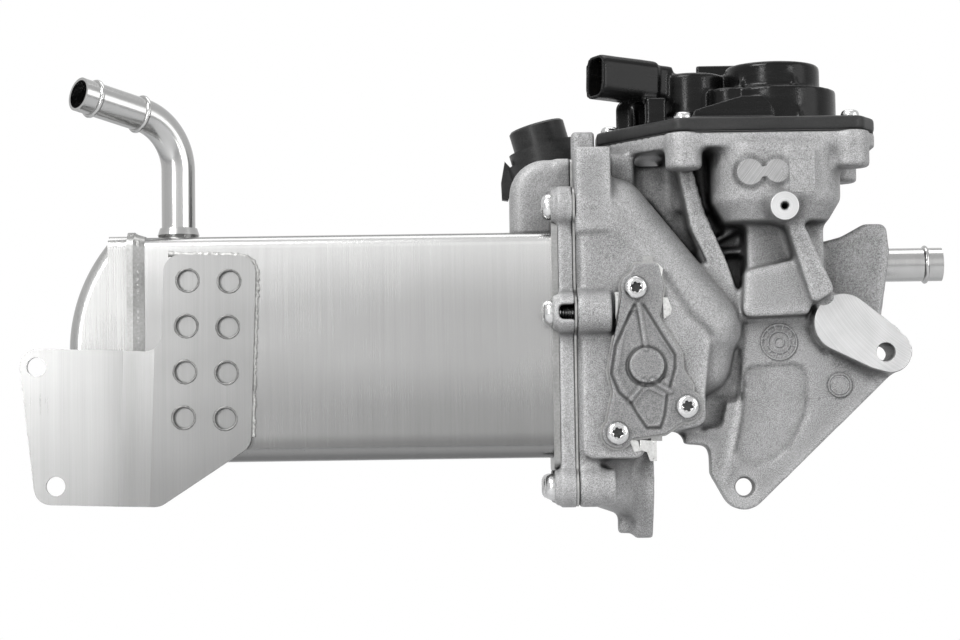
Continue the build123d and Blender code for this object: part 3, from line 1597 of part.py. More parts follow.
with BuildPart() as vacuum_bracket:
    with BuildSketch(Plane(origin=(casing_right_x, 0, 0), x_dir=(0, 1, 0), z_dir=(1, 0, 0))):
        with BuildLine():
            Polyline(*vacuum_leg_outline, close=True)
        make_face()
        fillet(vertices(), vacuum_leg_corner)
        with Locations(
            (casing_mid_y + bolt_mid_half, bolt_mid_z), (casing_mid_y + bolt_outer_half, bolt_top_z)
        ):
            Circle(bolt_hole / 2, mode=Mode.SUBTRACT)
    extrude(amount=-vacuum_sheet)
    with BuildSketch(can_station(can_base_end)):
        with Locations(((shelf_start + vacuum_shelf_end) / 2, 0)):
            Rectangle(vacuum_shelf_end - shelf_start, 2 * can_stud_half + can_nut_width)
    extrude(amount=-vacuum_sheet)
    with BuildSketch(can_station(can_base_end)):
        Rectangle(4 * can_skirt_radius, 8 * can_skirt_radius)
    extrude(amount=can_base_end, mode=Mode.SUBTRACT)
    with BuildSketch(can_station(can_base_end)):
        Circle(can_boss_radius + seat_gap)
        with Locations((can_stud_side, -can_stud_half), (can_stud_side, can_stud_half)):
            Circle(can_stud_radius + seat_gap)
    extrude(amount=-vacuum_sheet, mode=Mode.SUBTRACT)
vacuum_bracket.part.label = "vacuum_bracket"
export_step(vacuum_bracket.part, "parts/vacuum_bracket.step")

with BuildPart() as vacuum_nuts:
    with BuildSketch(can_station(can_base_end + vacuum_sheet)):
        with Locations((can_stud_side, -can_stud_half), (can_stud_side, can_stud_half)):
            RegularPolygon(can_nut_width / 2, 6, major_radius=False)
            Circle(can_stud_radius + running_gap, mode=Mode.SUBTRACT)
    extrude(amount=-can_nut_height)
vacuum_nuts.part.label = "vacuum_nuts"
export_step(vacuum_nuts.part, "parts/vacuum_nuts.step")


# Poppet valve: seat, stem guide, spring and stem
with BuildPart() as valve_seat:
    add(upright(valve_x, valve_y, seat_low_z, outlet_low_z, seat_outer_radius))
    add(
        upright(valve_x, valve_y, seat_low_z - 1, outlet_low_z + 1, seat_bore_radius),
        mode=Mode.SUBTRACT,
    )
valve_seat.part.label = "valve_seat"
export_step(valve_seat.part, "parts/valve_seat.step")

with BuildPart() as stem_guide:
    add(upright(valve_x, valve_y, outlet_high_z, guide_high_z, guide_radius))
    add(
        upright(
            valve_x, valve_y, outlet_high_z - 1, guide_high_z + 1, stem_radius + running_gap
        ),
        mode=Mode.SUBTRACT,
    )
stem_guide.part.label = "stem_guide"
export_step(stem_guide.part, "parts/stem_guide.step")

with BuildPart() as valve_spring:
    spring_space = stem_shoulder_z - spring_plate_thick - spring_low_z - 2 * valve_spring_wire
    with Locations((valve_x, valve_y, spring_low_z + valve_spring_wire)):
        add(coil(valve_spring_radius, valve_spring_wire, spring_space, 6))
valve_spring.part.label = "valve_spring"
export_step(valve_spring.part, "parts/valve_spring.step")

with BuildPart() as valve_stem:
    add(upright(valve_x, valve_y, seat_low_z - poppet_thick, seat_low_z, poppet_radius))
    chamfer(valve_stem.edges().group_by(Axis.Z)[0], 1.5)
    add(upright(valve_x, valve_y, seat_low_z - poppet_thick, stem_shoulder_z, stem_radius))
    add(
        upright(
            valve_x,
            valve_y,
            stem_shoulder_z - spring_plate_thick,
            stem_shoulder_z,
            spring_plate_radius,
        )
    )
    add(upright(valve_x, valve_y, stem_shoulder_z, stem_top_z, thread_radius))
valve_stem.part.label = "valve_stem"
export_step(valve_stem.part, "parts/valve_stem.step")


def involute(angle):
    return math.tan(angle) - angle


def gear_sketch(teeth, tooth_at, bore):
    # Spur gear section, one tooth centred on the direction tooth_at
    pitch = gear_module * teeth / 2
    base = pitch * math.cos(math.radians(pressure_angle))
    tip = pitch + gear_module * addendum
    root = pitch - gear_module * dedendum
    half_at_pitch = (math.pi * gear_module / 2 - tooth_backlash) / 2 / pitch
    flank = []
    for radius in (max(base, root), pitch, tip):
        spread = half_at_pitch + involute(math.radians(pressure_angle))
        spread -= involute(math.acos(min(1, base / radius)))
        flank.append((radius, spread))
    flank.insert(0, (root * 0.96, flank[0][1]))
    outline = [(r * math.cos(-a), r * math.sin(-a)) for r, a in flank]
    outline += [(r * math.cos(a), r * math.sin(a)) for r, a in reversed(flank)]
    with BuildSketch(Plane.XY, mode=Mode.PRIVATE) as gear:
        Circle(root)
        with PolarLocations(0, teeth, start_angle=tooth_at):
            with BuildLine():
                Polyline(*outline, close=True)
            make_face()
        Circle(bore, mode=Mode.SUBTRACT)
    return gear.sketch


# Motor, pinion, step gear on its pin and the lift gear with its nut
with BuildPart() as drive_motor:
    add(upright(motor_x, motor_y, motor_low_z, motor_top_z, motor_radius))
    chamfer(drive_motor.edges().group_by(Axis.Z)[-1], 1.5)
    add(
        upright(
            motor_x, motor_y, motor_low_z + 2, motor_top_z + 1, motor_shaft_radius + running_gap
        ),
        mode=Mode.SUBTRACT,
    )
drive_motor.part.label = "drive_motor"
export_step(drive_motor.part, "parts/drive_motor.step")

first_mesh = math.degrees(mesh_angle)
second_mesh = math.degrees(math.atan2(valve_y - step_y, valve_x - step_x))
with BuildPart() as motor_pinion:
    with BuildSketch(Plane.XY.offset(pinion_low_z)):
        with Locations((motor_x, motor_y)):
            add(gear_sketch(pinion_teeth, first_mesh, 1.0))
    extrude(amount=pinion_high_z - pinion_low_z)
    add(upright(motor_x, motor_y, motor_low_z + 3, pinion_high_z + 1, motor_shaft_radius))
motor_pinion.part.label = "motor_pinion"
export_step(motor_pinion.part, "parts/motor_pinion.step")

with BuildPart() as step_gear:
    with BuildSketch(Plane.XY.offset(step_large_low_z)):
        with Locations((step_x, step_y)):
            add(
                gear_sketch(
                    step_large_teeth, first_mesh + 180 + 180 / step_large_teeth, pin_radius
                )
            )
    extrude(amount=step_large_high_z - step_large_low_z)
    with BuildSketch(Plane.XY.offset(step_large_high_z)):
        with Locations((step_x, step_y)):
            add(gear_sketch(step_small_teeth, second_mesh, pin_radius))
    extrude(amount=step_small_high_z - step_large_high_z)
    add(upright(step_x, step_y, deck_z + running_gap, step_large_low_z, pin_radius + 2))
    add(
        upright(
            step_x, step_y, deck_z - 1, step_small_high_z + 1, pin_radius + running_gap
        ),
        mode=Mode.SUBTRACT,
    )
step_gear.part.label = "step_gear"
export_step(step_gear.part, "parts/step_gear.step")

with BuildPart() as gear_pin:
    add(upright(step_x, step_y, pin_low_z, pin_high_z, pin_radius))
gear_pin.part.label = "gear_pin"
export_step(gear_pin.part, "parts/gear_pin.step")

with BuildPart() as lift_gear:
    lift_base_z = deck_z + running_gap
    add(upright(valve_x, valve_y, lift_base_z, lift_base_z + lift_flange_thick, lift_flange_radius))
    add(upright(valve_x, valve_y, lift_base_z, lift_high_z, lift_hub_radius))
    with BuildSketch(Plane.XY.offset(lift_low_z)):
        with Locations((valve_x, valve_y)):
            add(
                gear_sketch(
                    lift_teeth, second_mesh + 180 + 180 / lift_teeth, thread_radius + running_gap
                )
            )
    extrude(amount=lift_high_z - lift_low_z)
    add(
        upright(valve_x, valve_y, deck_z - 1, lift_high_z + 1, thread_radius + running_gap),
        mode=Mode.SUBTRACT,
    )
lift_gear.part.label = "lift_gear"
export_step(lift_gear.part, "parts/lift_gear.step")


# Seal and black moulded cover of the actuator
with BuildPart() as actuator_seal:
    with BuildSketch(Plane.XY.offset(deck_z)):
        add(deck_outline(0.5))
        add(deck_outline(4.0), mode=Mode.SUBTRACT)
        with Locations(*deck_screws):
            Circle(deck_thread)
        with Locations(*deck_screws):
            Circle(deck_thread / 2 + seat_gap, mode=Mode.SUBTRACT)
    extrude(amount=seal_thick)
actuator_seal.part.label = "actuator_seal"
export_step(actuator_seal.part, "parts/actuator_seal.step")

moulding_low_z = deck_z + seal_thick
connector_angle = math.radians(connector_turn)
connector_slope = math.radians(connector_drop)
connector_out = Vector(
    -math.cos(connector_angle) * math.cos(connector_slope),
    -math.sin(connector_angle) * math.cos(connector_slope),
    math.sin(connector_slope),
)
connector_mouth_plane = Plane(
    origin=connector_mouth,
    x_dir=(math.sin(connector_angle), -math.cos(connector_angle), 0),
    z_dir=connector_out,
)
with BuildPart() as actuator_cover:
    with BuildSketch(Plane.XY.offset(moulding_low_z)):
        add(deck_outline())
    extrude(amount=moulding_flange_top_z - moulding_low_z)
    add(upright(gear_dome_x, valve_y, moulding_low_z, gear_dome_top_z, gear_dome_radius))
    fillet(actuator_cover.edges().group_by(Axis.Z)[-1], dome_edge)
    add(upright(motor_x, motor_y, moulding_low_z, motor_dome_top_z, motor_dome_radius))
    fillet(
        actuator_cover.edges().filter_by_position(
            Axis.Z, motor_dome_top_z - 0.1, motor_dome_top_z + 0.1
        ),
        dome_edge,
    )
    add(upright(valve_x, valve_y, moulding_low_z, shoulder_dome_top_z, shoulder_dome_radius))
    add(upright(step_x, step_y, moulding_low_z, step_dome_top_z, step_dome_radius))
    with BuildSketch(Plane.XY.offset(moulding_low_z)):
        with Locations((step_x, step_y)):
            Circle(step_large_teeth / 2 + 4.5)
        with Locations((motor_x, motor_y)):
            Circle(motor_dome_radius + 1)
        make_hull()
    extrude(amount=platform_top_z - moulding_low_z)
    for angle, reach, low_z, high_z in dome_gussets:
        turn = math.radians(angle)
        gusset_plane = Plane(
            origin=(gear_dome_x, valve_y, 0),
            x_dir=(math.cos(turn), math.sin(turn), 0),
            z_dir=(math.sin(turn), -math.cos(turn), 0),
        )
        with BuildSketch(gusset_plane):
            with BuildLine():
                Polyline(
                    (gear_dome_radius - 1, low_z),
                    (reach, low_z),
                    (gear_dome_radius, high_z),
                    (gear_dome_radius - 1, high_z),
                    close=True,
                )
            make_face()
        extrude(amount=gusset_thick / 2, both=True)
    add(lug_block(ridge_outline, 1.0, ridge_front_y, ridge_back_y))
    with Locations(((tab_left_x + tab_right_x) / 2, tab_y, (moulding_low_z + tab_top_z) / 2)):
        Box(tab_right_x - tab_left_x, tab_thick, tab_top_z - moulding_low_z)
    post_mid_x = (post_left_x + post_right_x) / 2
    post_half = (post_right_x - post_left_x) / 2
    with BuildSketch(front_plane(post_y)):
        with Locations((post_mid_x, (moulding_low_z + post_top_z) / 2)):
            RectangleRounded(2 * post_half, post_top_z - moulding_low_z, post_half / 2)
        with Locations((post_mid_x, moulding_low_z + 3)):
            Rectangle(2 * post_half, 6)
    extrude(amount=-post_thick)
    with BuildSketch(Plane(origin=(post_mid_x, 0, 0), x_dir=(0, 1, 0), z_dir=(1, 0, 0))):
        with BuildLine():
            Polyline(
                (post_y + 1, post_top_z - 3),
                (post_y - 1, post_top_z - 3),
                (post_y - 8, moulding_flange_top_z - 1),
                (post_y + 1, moulding_flange_top_z - 1),
                close=True,
            )
        make_face()
    extrude(amount=0.8, both=True)
    # connector body from its mouth back to the motor dome
    with BuildSketch(connector_mouth_plane):
        RectangleRounded(connector_width, connector_height, connector_corner)
    extrude(amount=-connector_length)
    with BuildSketch(connector_mouth_plane):
        RectangleRounded(
            connector_width - 2 * connector_neck_step,
            connector_height - 2 * connector_neck_step,
            connector_corner - connector_neck_step,
        )
    extrude(amount=-connector_neck_length)
    # room for the gears, the motor and the stem
    add(
        upright(valve_x, valve_y, deck_z, lift_high_z + 2, shoulder_dome_radius - moulding_wall),
        mode=Mode.SUBTRACT,
    )
    add(
        upright(
            gear_dome_x, valve_y, deck_z, gear_dome_top_z - moulding_wall,
            gear_dome_radius - moulding_wall,
        ),
        mode=Mode.SUBTRACT,
    )
    add(
        upright(
            motor_x, motor_y, deck_z, motor_dome_top_z - moulding_wall,
            motor_dome_radius - moulding_wall + 1,
        ),
        mode=Mode.SUBTRACT,
    )
    add(
        upright(step_x, step_y, deck_z, step_large_high_z + 1.5, step_large_teeth / 2 + 2),
        mode=Mode.SUBTRACT,
    )
    add(
        upright(step_x, step_y, deck_z, step_small_high_z + 1, step_small_teeth / 2 + 1.6),
        mode=Mode.SUBTRACT,
    )
    add(
        upright(step_x, step_y, deck_z, pin_high_z + 0.3, pin_radius + running_gap),
        mode=Mode.SUBTRACT,
    )
    # hollow of the connector
    with BuildSketch(connector_mouth_plane):
        RectangleRounded(
            connector_width - 2 * connector_wall,
            connector_height - 2 * connector_wall,
            connector_corner - connector_wall,
        )
    extrude(amount=-connector_depth, mode=Mode.SUBTRACT)
    for screw_x, screw_y in deck_screws:
        add(
            upright(screw_x, screw_y, deck_z, deck_z + 12, deck_thread / 2 + seat_gap),
            mode=Mode.SUBTRACT,
        )
        add(
            upright(
                screw_x, screw_y, moulding_flange_top_z, deck_z + 20, deck_screw_head + 2 * seat_gap
            ),
            mode=Mode.SUBTRACT,
        )
actuator_cover.part.label = "actuator_cover"
export_step(actuator_cover.part, "parts/actuator_cover.step")

with BuildPart() as connector_pins:
    with BuildSketch(connector_mouth_plane.offset(-connector_depth)):
        with GridLocations(connector_pin_pitch * 1.5, connector_pin_pitch, 1, connector_pin_count):
            Rectangle(0.8, 1.2)
    extrude(amount=connector_pin_length)
connector_pins.part.label = "connector_pins"
export_step(connector_pins.part, "parts/connector_pins.step")

deck_screw = flange_screw(
    deck_screw_head, deck_screw_height, deck_thread / 2 - running_gap, deck_screw_length
)
with BuildPart() as actuator_screws:
    for screw_x, screw_y in deck_screws:
        with Locations((screw_x, screw_y, moulding_flange_top_z)):
            add(deck_screw)
actuator_screws.part.label = "actuator_screws"
export_step(actuator_screws.part, "parts/actuator_screws.step")
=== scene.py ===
import math

import bmesh
import bpy
import numpy as np
from mathutils import Matrix, Vector
from mathutils.bvhtree import BVHTree


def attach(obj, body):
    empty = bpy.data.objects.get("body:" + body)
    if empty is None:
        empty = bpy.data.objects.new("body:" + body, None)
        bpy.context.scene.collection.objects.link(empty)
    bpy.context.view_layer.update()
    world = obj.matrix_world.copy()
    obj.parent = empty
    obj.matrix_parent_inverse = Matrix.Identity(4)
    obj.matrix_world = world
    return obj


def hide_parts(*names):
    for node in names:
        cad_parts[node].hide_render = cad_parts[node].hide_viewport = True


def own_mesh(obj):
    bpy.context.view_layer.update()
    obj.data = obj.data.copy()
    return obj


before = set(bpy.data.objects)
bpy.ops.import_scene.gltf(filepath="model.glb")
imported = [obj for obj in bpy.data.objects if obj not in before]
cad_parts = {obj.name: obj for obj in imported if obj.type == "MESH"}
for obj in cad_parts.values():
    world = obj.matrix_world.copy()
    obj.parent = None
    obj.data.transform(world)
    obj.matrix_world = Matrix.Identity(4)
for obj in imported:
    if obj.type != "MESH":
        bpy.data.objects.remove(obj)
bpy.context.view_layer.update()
scene = bpy.context.scene
print("frame loaded")


# Shader signals: arithmetic on sockets, and one method for every other node
class Signal:
    def __init__(self, tree, socket=None):
        self.tree = tree
        self.socket = socket

    def feed(self, target, value):
        if isinstance(value, Signal):
            self.tree.links.new(value.socket, target)
        else:
            target.default_value = value

    def node(self, kind, settings=None, inputs=None, output=0):
        made = self.tree.nodes.new(kind)
        for key, value in (settings or {}).items():
            setattr(made, key, value)
        for key, value in (inputs or {}).items():
            self.feed(made.inputs[key], value)
        return Signal(self.tree, made.outputs[output])

    def math(self, operation, first, second=0.0):
        return self.node("ShaderNodeMath", {"operation": operation}, {0: first, 1: second})

    def __add__(self, other):
        return self.math("ADD", self, other)

    def __radd__(self, other):
        return self.math("ADD", other, self)

    def __sub__(self, other):
        return self.math("SUBTRACT", self, other)

    def __rsub__(self, other):
        return self.math("SUBTRACT", other, self)

    def __mul__(self, other):
        return self.math("MULTIPLY", self, other)

    def __rmul__(self, other):
        return self.math("MULTIPLY", other, self)

    def step(self, low, high):
        ends = {"Value": self, "From Min": low, "From Max": high}
        return self.node("ShaderNodeMapRange", {"interpolation_type": "SMOOTHSTEP"}, ends)

    def noise(self, scale, detail=3.0, rough=0.55):
        grain = {"Vector": self, "Scale": scale, "Detail": detail, "Roughness": rough}
        return self.node("ShaderNodeTexNoise", None, grain)

    def stretch(self, x, y, z):
        return self.node("ShaderNodeVectorMath", {"operation": "MULTIPLY"}, {0: self, 1: (x, y, z)})

    def distance(self, point):
        kind = {"operation": "DISTANCE"}
        return self.node("ShaderNodeVectorMath", kind, {0: self, 1: point}, output="Value")

    def rings(self, point, scale):
        # streaks that run round a far point, as a grinding wheel or a facing cutter leaves them
        grain = {"W": self.distance(point), "Scale": scale, "Detail": 4.0, "Roughness": 0.7}
        return self.node("ShaderNodeTexNoise", {"noise_dimensions": "1D"}, grain)

    def mix(self, low, high):
        # self is the factor between two colours; 6 and 7 are the colour inputs, 2 the colour output
        colours = {"Factor": self, 6: shade(low), 7: shade(high)}
        return self.node("ShaderNodeMix", {"data_type": "RGBA", "clamp_factor": True}, colours, 2)

    def darkenedBy(self, grey):
        # self is a colour, multiplied by a grey signal
        both = {"Factor": 1.0, 6: self, 7: grey}
        kind = {"data_type": "RGBA", "blend_type": "MULTIPLY"}
        return self.node("ShaderNodeMix", kind, both, 2)


def shade(value):
    if isinstance(value, Signal):
        return value
    if isinstance(value, (int, float)):
        return (value, value, value, 1.0)
    return (*value, 1.0)


def newMaterial(name):
    material = bpy.data.materials.new(name)
    material.use_nodes = True
    tree = material.node_tree
    shader = next(n for n in tree.nodes if n.type == "BSDF_PRINCIPLED")
    return material, shader, Signal(tree).node("ShaderNodeTexCoord", output="Object")


def finish(shader, place, colour, rough, metal=0.0, height=None, depth=0.0001, strength=1.0):
    place.feed(shader.inputs["Base Color"], colour)
    place.feed(shader.inputs["Roughness"], rough)
    place.feed(shader.inputs["Metallic"], metal)
    if height is not None:
        bump = {"Height": height, "Distance": depth, "Strength": strength}
        place.feed(shader.inputs["Normal"], place.node("ShaderNodeBump", None, bump))


def axes(place):
    split = place.node("ShaderNodeSeparateXYZ", None, {0: place})
    outputs = split.socket.node.outputs
    return [Signal(place.tree, outputs[index]) for index in range(3)]


def attribute(place, name):
    return place.node("ShaderNodeAttribute", {"attribute_name": name}, output="Fac")


castLook = dict(
    grain=2100.0, lump=600.0, cloud=38.0, lumpShare=0.45, cloudShare=0.45, rough=0.44, metal=0.22, pit=0.00015
)


def castMaterial(name, dark, light, speckle=1.0, withPaintedLight=True):
    # shot-blasted aluminium: fine speckle, soft clouds, and painted light kept per point: painted shade where
    # it is low, in creases and under parts, and a painted highlight on outer edges
    material, shader, place = newMaterial(name)
    fine = place.noise(castLook["grain"], 2.0, 0.6)
    lump = place.noise(castLook["lump"], 3.0, 0.65)
    cloud = place.noise(castLook["cloud"], 2.0, 0.5)
    lumps = (lump - 0.5) * castLook["lumpShare"] * speckle
    value = 0.5 + (fine - 0.5) * 2.0 * speckle + lumps + (cloud - 0.5) * castLook["cloudShare"]
    colour = value.mix(dark, light)
    # painted shade and painted highlight from the points' colour attribute
    if withPaintedLight:
        colour = colour.darkenedBy(attribute(place, "paintedLight"))
    rough = castLook["rough"] + (fine - 0.5) * 0.3 + (cloud - 0.5) * 0.1
    finish(shader, place, colour, rough, castLook["metal"], fine + lump, castLook["pit"], 0.9)
    return material


steelLook = dict(brush=(2400.0, 2400.0, 16.0), broad=0.12, cloud=(10.0, 10.0, 26.0), spread=0.12)


def steelMaterial(name, colour, rough, streak, blotch=0.1, paintedBands=()):
    # brushed steel with its grain upright, and soft stains; the bands are painted light and shade, stretches
    # where the sheet is painted
    # darker or brighter: axis, from, to (mm), and the share added past them
    material, shader, place = newMaterial(name)
    lines = place.stretch(*steelLook["brush"]).noise(1.0, 4.0, 0.65)
    wide = tuple(steelLook["broad"] * s for s in steelLook["brush"])
    wider = place.stretch(*wide).noise(1.0, 2.0, 0.5)
    cloud = place.stretch(*steelLook["cloud"]).noise(1.0, 2.0, 0.5)
    value = 0.5 + (lines - 0.5) * 1.8 + (wider - 0.5) * 1.0 + (cloud - 0.5) * blotch * 8
    darker = tuple(c * (1 - streak) for c in colour)
    lighter = tuple(min(1.0, c * (1 + streak)) for c in colour)
    tone = value.mix(darker, lighter)
    level = None
    for axis, begin, end, share in paintedBands:
        part = axes(place)["xyz".index(axis)].step(begin / 1000, end / 1000) * share
        level = part + (1.0 if level is None else level)
    if level is not None:
        tone = tone.darkenedBy(level)
    roughness = rough + (lines - 0.5) * steelLook["spread"] + (cloud - 0.5) * 0.16
    finish(shader, place, tone, roughness, 1.0, lines, 0.00002, 0.3)
    return material


def plainMaterial(name, dark, light, rough, metal=0.0, scale=900.0, depth=0.00003):
    material, shader, place = newMaterial(name)
    fine = place.noise(scale, 3.0, 0.6)
    cloud = place.noise(60.0, 2.0, 0.5)
    value = 0.5 + (fine - 0.5) * 1.1 + (cloud - 0.5) * 0.9
    roughness = rough + (fine - 0.5) * 0.14 + (cloud - 0.5) * 0.08
    finish(shader, place, value.mix(dark, light), roughness, metal, fine, depth, 0.5)
    return material


def groundMaterial(name, centre, dark=0.36, light=0.58, rough=0.36):
    # a face cut flat, with fine curved lines round the cutter's centre
    material, shader, place = newMaterial(name)
    lines = place.rings(centre, 2200.0)
    cloud = place.noise(90.0, 2.0, 0.5)
    value = 0.5 + (lines - 0.5) * 1.7 + (cloud - 0.5) * 0.7
    roughness = rough + (lines - 0.5) * 0.2
    finish(shader, place, value.mix(dark, light), roughness, 0.7, lines, 0.00003, 0.4)
    return material


mouldedLook = dict(rimHigh=0.0118, edge=0.0006, rimDark=2.2, rimLight=6.0, gloss=0.16)


def mouldedMaterial(name, dark, light, rough, scale=1600.0, rimLow=1.0):
    # black glass-filled plastic: matt grain, faint flow marks, and a painted highlight that makes its flange
    # paler, from rimLow up
    material, shader, place = newMaterial(name)
    fine = place.noise(scale, 3.0, 0.6)
    flow = place.stretch(30.0, 30.0, 260.0).noise(1.0, 3.0, 0.6)
    value = 0.5 + (fine - 0.5) * 1.2 + (flow - 0.5) * 1.0
    height = axes(place)[2]
    rimTop, edge = rimLow + mouldedLook["rimHigh"], mouldedLook["edge"]
    rim = height.step(rimLow, rimLow + edge) * (1 - height.step(rimTop - edge, rimTop))
    # the flange's painted highlight: the same grain, in paler colours
    paintedHighlight = value.mix(*[[mouldedLook[end] * c for c in light] for end in ("rimDark", "rimLight")])
    tone = rim.mix(value.mix(dark, light), paintedHighlight)
    roughness = rough + (fine - 0.5) * 0.16 + (flow - 0.5) * 0.22 + rim * 0.15
    finish(shader, place, tone, roughness, 0.0, fine, 0.00005, 0.45)
    shader.inputs["Specular IOR Level"].default_value = mouldedLook["gloss"]
    return material


castHousing = castMaterial("castHousing", 0.07, 0.35)
castMark = castMaterial("castMark", 0.08, 0.36, withPaintedLight=False)
# dark cast colour for the painted shadow lines beside raised marks
castShade = castMaterial("castShade", 0.03, 0.16, withPaintedLight=False)
castAdapter = castMaterial("castAdapter", 0.085, 0.38, 0.8)
castCover = castMaterial("castCover", 0.05, 0.25, 0.9)
# painted light and shade: the casing brighter from 84 mm up, with a darker strip along its top edge, darker
# in steps below 64 mm and a little darker at its left end; the bracket darker towards the bottom, brighter
# towards the top and at its left end
casingPaintedLight = [("z", 84, 122, 0.5), ("z", 64, 36, -0.26), ("z", 28, 22, -0.24), ("z", 20, 13, -0.2)]
casingPaintedLight += [("z", 117, 119, -0.9), ("x", -268, -281, -0.08)]
sheetPaintedLight = [("x", -300, -282, -0.20), ("z", 70, 0, -0.24), ("z", 80, 112, 0.12)]
casingSteel = steelMaterial("casingSteel", (0.36, 0.36, 0.357), 0.25, 0.05, 0.055, casingPaintedLight)
tankSteel = steelMaterial("tankSteel", (0.37, 0.37, 0.366), 0.28, 0.10)
sheetSteel = steelMaterial("sheetSteel", (0.33, 0.33, 0.327), 0.32, 0.07, paintedBands=sheetPaintedLight)
pipeSteel = steelMaterial("pipeSteel", (0.38, 0.38, 0.376), 0.22, 0.06)
flangeSteel = plainMaterial("flangeSteel", (0.17, 0.17, 0.167), (0.34, 0.34, 0.335), 0.38, 1.0)
weldSteel = plainMaterial("weldSteel", (0.16, 0.16, 0.155), (0.5, 0.5, 0.49), 0.5, 0.9, 700.0, 0.0002)
# plug weld rings: dark partly as the weld's own colour and partly as painted shade of the dimples
plugWeldAndShade = plainMaterial("plugWeldAndShade", (0.07, 0.07, 0.068), (0.24, 0.24, 0.235), 0.45, 0.9, 700.0, 0.0001)
gasketSteel = plainMaterial("gasketSteel", (0.22, 0.22, 0.22), (0.42, 0.42, 0.41), 0.34, 1.0)
tabSteel = plainMaterial("tabSteel", (0.42, 0.42, 0.41), (0.78, 0.78, 0.77), 0.3, 1.0)
screwSteel = plainMaterial("screwSteel", (0.36, 0.36, 0.36), (0.62, 0.62, 0.62), 0.24, 1.0)
# near-black steel, painted shade for the floors and walls of the screw sockets
socketPaintedShade = plainMaterial("socketPaintedShade", (0.03, 0.03, 0.03), (0.10, 0.10, 0.10), 0.5, 0.8)
innerSteel = plainMaterial("innerSteel", (0.35, 0.34, 0.33), (0.5, 0.49, 0.47), 0.42, 1.0)
gearSteel = plainMaterial("gearSteel", (0.30, 0.29, 0.28), (0.46, 0.45, 0.43), 0.48, 1.0, 1500.0)
bronze = plainMaterial("bronze", (0.38, 0.26, 0.13), (0.52, 0.38, 0.2), 0.35, 1.0)
blackPlastic = mouldedMaterial("blackPlastic", [0.001] * 3, [0.006] * 3, 0.24, rimLow=0.16)
blackPaint = mouldedMaterial("blackPaint", [0.010] * 3, [0.035] * 3, 0.36, 1400.0)
sealRubber = plainMaterial("sealRubber", (0.012, 0.012, 0.012), (0.03, 0.03, 0.03), 0.7)
groundPad = groundMaterial("groundPad", (0.115, -0.008, 0.125))
groundBoss = groundMaterial("groundBoss", (0.0179, -0.028, 0.1285), 0.37, 0.60)
groundBelly = groundMaterial("groundBelly", (-0.20, -0.024, 0.30), 0.16, 0.40, 0.42)

nodeMaterials = {
    "cooler_casing": casingSteel,
    "return_tank": tankSteel,
    "tube_header_left": flangeSteel,
    "tube_header_right": innerSteel,
    "cooling_tubes": innerSteel,
    "tube_baffles": innerSteel,
    "inlet_pipe": pipeSteel,
    "pipe_collar": pipeSteel,
    "side_bracket": sheetSteel,
    "cooler_flange": flangeSteel,
    "adapter_frame": castAdapter,
    "joint_gasket": gasketSteel,
    "joint_bolts": screwSteel,
    "valve_housing": castHousing,
    "outlet_pipe": pipeSteel,
    "flap_cover": castCover,
    "flap_gasket": gasketSteel,
    "cover_screws": screwSteel,
    "bypass_flap": innerSteel,
    "flap_shaft": innerSteel,
    "flap_bush": bronze,
    "flap_lever": sheetSteel,
    "vacuum_cap": blackPaint,
    "vacuum_base": blackPaint,
    "vacuum_rod": screwSteel,
    "vacuum_spring": innerSteel,
    "vacuum_bracket": flangeSteel,
    "vacuum_nuts": screwSteel,
    "valve_seat": innerSteel,
    "stem_guide": bronze,
    "valve_spring": innerSteel,
    "valve_stem": innerSteel,
    "drive_motor": innerSteel,
    "motor_pinion": bronze,
    "step_gear": gearSteel,
    "gear_pin": innerSteel,
    "lift_gear": gearSteel,
    "actuator_seal": sealRubber,
    "actuator_cover": blackPlastic,
    "connector_pins": bronze,
    "actuator_screws": screwSteel,
}
for name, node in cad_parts.items():
    node.data.materials.clear()
    node.data.materials.append(nodeMaterials[name])
    node.data.shade_smooth()
    node.data.set_sharp_from_angle(angle=math.radians(32))
print("materials done")


def place3(x, y, z):
    # millimetres of the part's drawing to Blender's metres
    return Vector((x, y, z)) / 1000


def newPiece(name, data, material):
    piece = bpy.data.objects.new(name, data)
    scene.collection.objects.link(piece)
    data.materials.append(material)
    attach(piece, "housing")
    return piece


# Cast pieces: the CAD mesh is remeshed and its corners filled, as casting leaves them
def nearPath(points, path):
    # distance in millimetres from each point, seen from the front, to a line of (x, z) corners
    flat = points[:, [0, 2]] * 1000
    best = np.full(len(flat), 1e9)
    for first, second in zip(path[:-1], path[1:]):
        first, along = np.array(first, float), np.subtract(second, first).astype(float)
        part = np.clip((flat - first) @ along / (along @ along), 0, 1)
        best = np.minimum(best, np.linalg.norm(flat - first - part[:, None] * along, axis=1))
    return best


def prism(shape, outline, frontY, backY):
    # a straight block between two depths, from its outline seen from the front
    rows = [[shape.verts.new(place3(x, y, z)) for x, z in outline] for y in (frontY, backY)]
    shape.faces.new(rows[0])
    shape.faces.new(rows[1][::-1])
    for index in range(len(outline)):
        before = index - 1
        shape.faces.new((rows[0][before], rows[0][index], rows[1][index], rows[1][before]))


# Shadow that is worked out once and kept in the castings: rays spread over each point's sky
skyLook = dict(rays=14, spread=0.94, reach=0.034, lift=0.0016, above=0.6, blocked=0.75, free=0.84, span=0.6)
goldenTurn = math.pi * (3 - math.sqrt(5))


